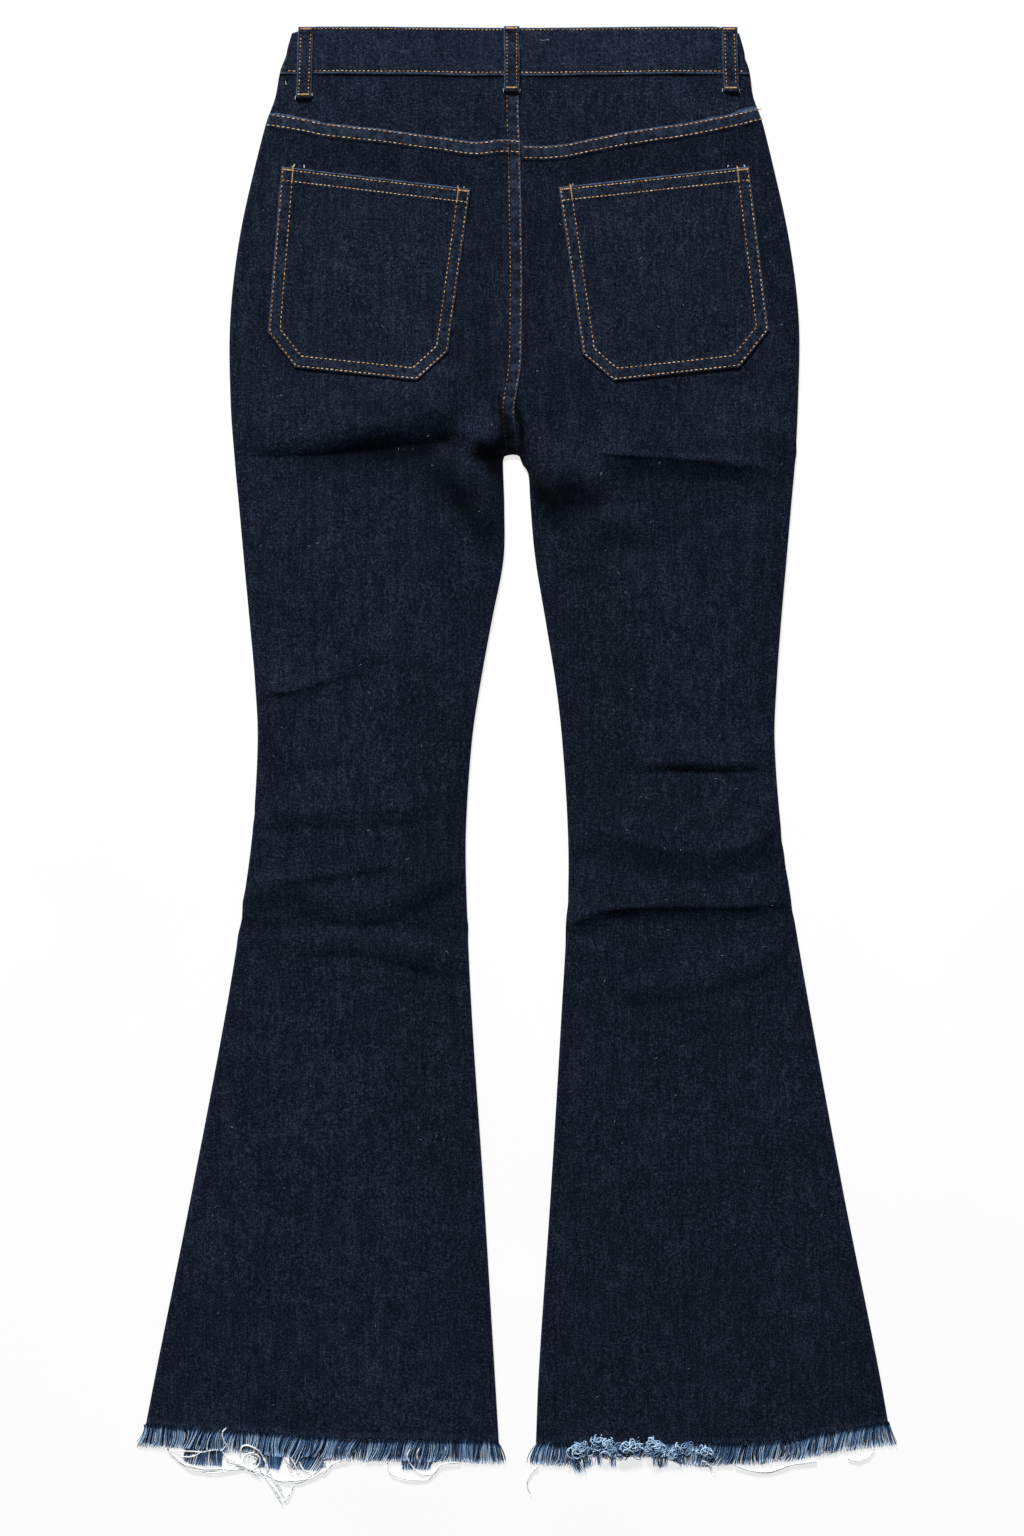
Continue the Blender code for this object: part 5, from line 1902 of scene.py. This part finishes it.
def denim(name, lift=1.0, reverse=False):
    """Indigo twill: a net of pale specks, warp streaks, cloudy shade, worn folded edges and painted shade in
    the folds.

    lift is how much lighter the cloth is than that of the legs.
    """
    n = Nodes(name)
    at = n.place()
    speck = n.noise(at, 0.82, 1.0, 0.6)
    net = n.add("ShaderNodeTexVoronoi", feature="F1", distance="EUCLIDEAN")
    net.inputs["Scale"].default_value = 0.46
    net.inputs["Randomness"].default_value = 0.8
    n.link(at, net.inputs["Vector"])
    yarn = n.noise(n.stretch(at, 1.0, 0.10, 1.0), 0.72, 1.0, 0.6)
    slub = n.noise(n.stretch(at, 0.5, 0.02, 1.0), 0.5, 1.0, 0.5)
    cloud = n.noise(at, 0.012, 2.0, 0.6)
    mottle = n.noise(at, 0.085, 3.0, 0.65)
    weave = n.math("MULTIPLY", n.spread(speck, 0.2, 0.8), 0.50)
    for source, low, high, share in (
        (net.outputs["Distance"], 0.0, 0.9, 0.22),
        (yarn, 0.2, 0.8, 0.16),
        (slub, 0.25, 0.75, 0.07),
        (mottle, 0.25, 0.75, 0.12),
    ):
        weave = n.math("ADD", weave, n.math("MULTIPLY", n.spread(source, low, high), share))
    tone = n.spread(weave, 0.30, 0.755)
    if reverse:
        colour = n.mix(tone, times(0.4, REVERSE), times(1.5, REVERSE))
    else:
        stops = ((0.0, INDIGO_DEEP), (0.42, INDIGO), (0.72, INDIGO_PALE), (1.0, FLECK))
        colour = n.shades(tone, [(position, times(lift, shade)) for position, shade in stops])
        colour = n.mix(n.spread(cloud, 0.35, 0.65, 0.0, 0.22), colour, INDIGO_DEEP)
        fleck = n.noise(n.stretch(at, 1.0, 0.7, 1.0), 0.55, 1.0, 0.6)
        colour = n.mix(n.spread(fleck, 0.72, 0.80, 0.0, 0.5), colour, FLECK)
        wear = n.attribute("wear")
        chafe = n.noise(at, 0.42, 2.0, 0.7)
        strong = n.math("MULTIPLY", n.spread(wear, 0.3, 1.0), n.spread(chafe, 0.36, 0.60, 0.12, 1.0))
        rub = n.noise(at, 0.28, 2.0, 0.6)
        soft = n.math("MULTIPLY", n.spread(wear, 0.0, 0.3), n.spread(rub, 0.42, 0.7, 0.0, 0.55))
        colour = n.mix(n.math("MULTIPLY", soft, 0.35), colour, WORN)
        colour = n.mix(n.math("MULTIPLY", strong, 0.8), colour, WORN)
        # painted shade: the folds, the crotch, the right leg and the strip under the waistband are mixed
        # towards near black
        colour = n.mix(n.attribute("painted_shade"), colour, PAINTED_SHADE_COLOUR)
        raw = n.attribute("raw")
        fray = n.noise(n.stretch(at, 1.0, 0.12, 1.0), 1.2, 2.0, 0.7)
        colour = n.mix(n.math("MULTIPLY", raw, n.spread(fray, 0.45, 0.62, 0.0, 0.75)), colour, WORN)
    relief = n.math("ADD", weave, n.math("MULTIPLY", mottle, 0.5))
    n.bump(relief, 0.5, 0.0004)
    return n.finish(colour, n.spread(weave, 0.3, 0.7, 0.95, 0.82), 0.05)


def yarn_material(name, stops):
    """Thread and yarn coloured by each strand's tone, from the first of the stops to the last."""
    n = Nodes(name)
    at = n.place()
    fuzz = n.noise(at, 1.4, 2.0, 0.7)
    tone = n.math("ADD", n.attribute("tone"), n.spread(fuzz, 0.3, 0.7, -0.14, 0.14), clamp=True)
    colour = n.shades(tone, [(i / (len(stops) - 1), stop) for i, stop in enumerate(stops)])
    n.bump(fuzz, 0.5, 0.0002)
    return n.finish(colour, 0.9, 0.12, sheen=0.04)


def metal(name, light, dark):
    n = Nodes(name)
    at = n.place()
    blotch = n.noise(at, 0.35, 3.0, 0.6)
    scratch = n.noise(n.stretch(at, 0.2, 3.0, 1.0), 1.2, 2.0, 0.6)
    colour = n.mix(n.spread(blotch, 0.35, 0.65), light, dark)
    n.shader.inputs["Metallic"].default_value = 1.0
    n.bump(scratch, 0.15, 0.0001)
    return n.finish(colour, n.spread(scratch, 0.3, 0.7, 0.3, 0.5), 0.5)


def floor_material():
    """A white studio surface lit through from below, so it stays near white beside the cloth."""
    n = Nodes("pale_floor")
    at = n.place()
    grain = n.noise(at, 0.004, 3.0, 0.5)
    colour = n.mix(n.spread(grain, 0.3, 0.7), (0.26, 0.26, 0.26), (0.28, 0.28, 0.28))
    n.shader.inputs["Emission Color"].default_value = (1.0, 1.0, 1.0, 1.0)
    n.shader.inputs["Emission Strength"].default_value = FLOOR_GLOW
    return n.finish(colour, 0.9, 0.0)


# ---------------------------------------------------------------- camera and light

CAMERA_HEIGHT = 4.0
PHOTO_HEIGHT = 1.2288  # what the picture takes in from top to bottom
PHOTO_CENTRE = (-0.0024, -0.0163)
SENSOR = 36.0
FLOOR_HALF = 14.0
FLOOR_DROP = 0.0002  # the floor lies this much lower, so that nothing lies in its plane
FLOOR_GLOW = 0.74
SKY_STRENGTH = 0.15
KEY_PLACE = (-2.4, 10.3, 5.3)
KEY_SIZE = (3.4, 1.7)
KEY_POWER = 2500.0


def make_camera():
    data = bpy.data.cameras.new("camera")
    data.sensor_width = SENSOR
    data.lens = SENSOR * CAMERA_HEIGHT / PHOTO_HEIGHT
    data.clip_end = 100.0
    camera = bpy.data.objects.new("camera", data)
    camera.location = (*PHOTO_CENTRE, CAMERA_HEIGHT)
    bpy.context.collection.objects.link(camera)
    bpy.context.scene.camera = camera


def make_light(name, place, size, power):
    """A broad soft light that points at the frame's origin."""
    data = bpy.data.lights.new(name, "AREA")
    data.shape = "RECTANGLE"
    data.size, data.size_y = size
    data.energy = power
    light = bpy.data.objects.new(name, data)
    light.location = place
    light.rotation_euler = (-Vector(place)).to_track_quat("-Z", "Y").to_euler()
    bpy.context.collection.objects.link(light)


def make_stage():
    low, high = -FLOOR_HALF, FLOOR_HALF
    corners = np.array([[low, low, 0], [high, low, 0], [high, high, 0], [low, high, 0]])
    corners[:, 2] -= FLOOR_DROP
    floor = mesh_object("floor", corners, [[0, 1, 2, 3]], smooth=False)
    floor.data.materials.append(floor_material())
    world = bpy.data.worlds.new("studio")
    bpy.context.scene.world = world
    world.use_nodes = True
    background = world.node_tree.nodes["Background"]
    background.inputs["Color"].default_value = (1.0, 1.0, 1.0, 1.0)
    background.inputs["Strength"].default_value = SKY_STRENGTH
    make_light("key", KEY_PLACE, KEY_SIZE, KEY_POWER)
    bpy.context.scene.view_settings.view_transform = "Standard"


# ---------------------------------------------------------------- putting it together

# The cut of each piece of cloth as it shows: width and length in metres, and area in square metres where it
# is not a rectangle.
Cut = namedtuple("Cut", "width length area")


def dress(piece, slot, *materials):
    """Gives a piece its materials and its body; slot is not used."""
    for made in materials:
        piece.data.materials.append(made)
    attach(piece, "root")
    return piece


def lay(node):
    """Hides the CAD node that a sheet of cloth stands for."""
    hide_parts(node)


def main():
    make_camera()
    make_stage()
    outside = denim("denim_outside")
    on_pockets = denim("denim_pockets", 1.06)
    on_top = denim("denim_top", 1.22)
    inside = denim("denim_inside", reverse=True)
    topstitch = yarn_material("topstitch_thread", TOPSTITCH_STOPS)
    fringe_yarn = yarn_material("fringe_yarn", FRINGE_STOPS)
    white_yarn = yarn_material("white_weft", WEFT_STOPS)
    brass = metal("zip_brass", (0.55, 0.40, 0.17), (0.33, 0.22, 0.09))
    button_metal = metal("button_brass", (0.46, 0.34, 0.17), (0.20, 0.13, 0.06))

    for word, side, _ in SIDES:
        back = make_fringe("yarns_back_" + word, side, True, 101 + side)
        front = make_fringe("yarns_front_" + word, side, False, 131 + side)
        for piece, place in ((back, "back"), (front, "front")):
            dress(piece, "frayed_denim", fringe_yarn)
            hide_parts(f"fringe_{place}_{word}")
    curls = dress(make_curls("yarns_curled"), "frayed_denim", fringe_yarn)
    threads = dress(make_threads("loose_weft"), "frayed_denim", white_yarn)
    lint = dress(make_lint("lint_and_thread_ends"), "topstitch", white_yarn)

    for word, side, corners in SIDES:
        back = dress(make_back("cloth_back_" + word, side), "denim", outside, inside, outside)
        lay("back_" + word)
        front = dress(make_front("cloth_front_" + word, side), "denim", outside, inside, outside)
        lay("front_" + word)
        yoke = dress(make_yoke("cloth_yoke_" + word, side), "denim", on_top, inside, on_top)
        lay("yoke_" + word)
        pocket = make_pocket("cloth_pocket_" + word, side, corners)
        dress(pocket, "denim", on_pockets, inside, on_pockets)
        lay("pocket_" + word)

    band = dress(make_waistband("cloth_waistband"), "denim", on_top)
    lay("waistband")
    for loop in LOOPS:
        piece = dress(make_loop(loop), "denim", on_top)
        lay(loop.name)
    for piece in make_stitches():
        dress(piece, "topstitch", topstitch)

    for node, made in (("fly_zip", brass), ("zip_slider", brass), ("waist_button", button_metal)):
        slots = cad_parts[node].data.materials
        slots.clear()
        slots.append(made)


main()
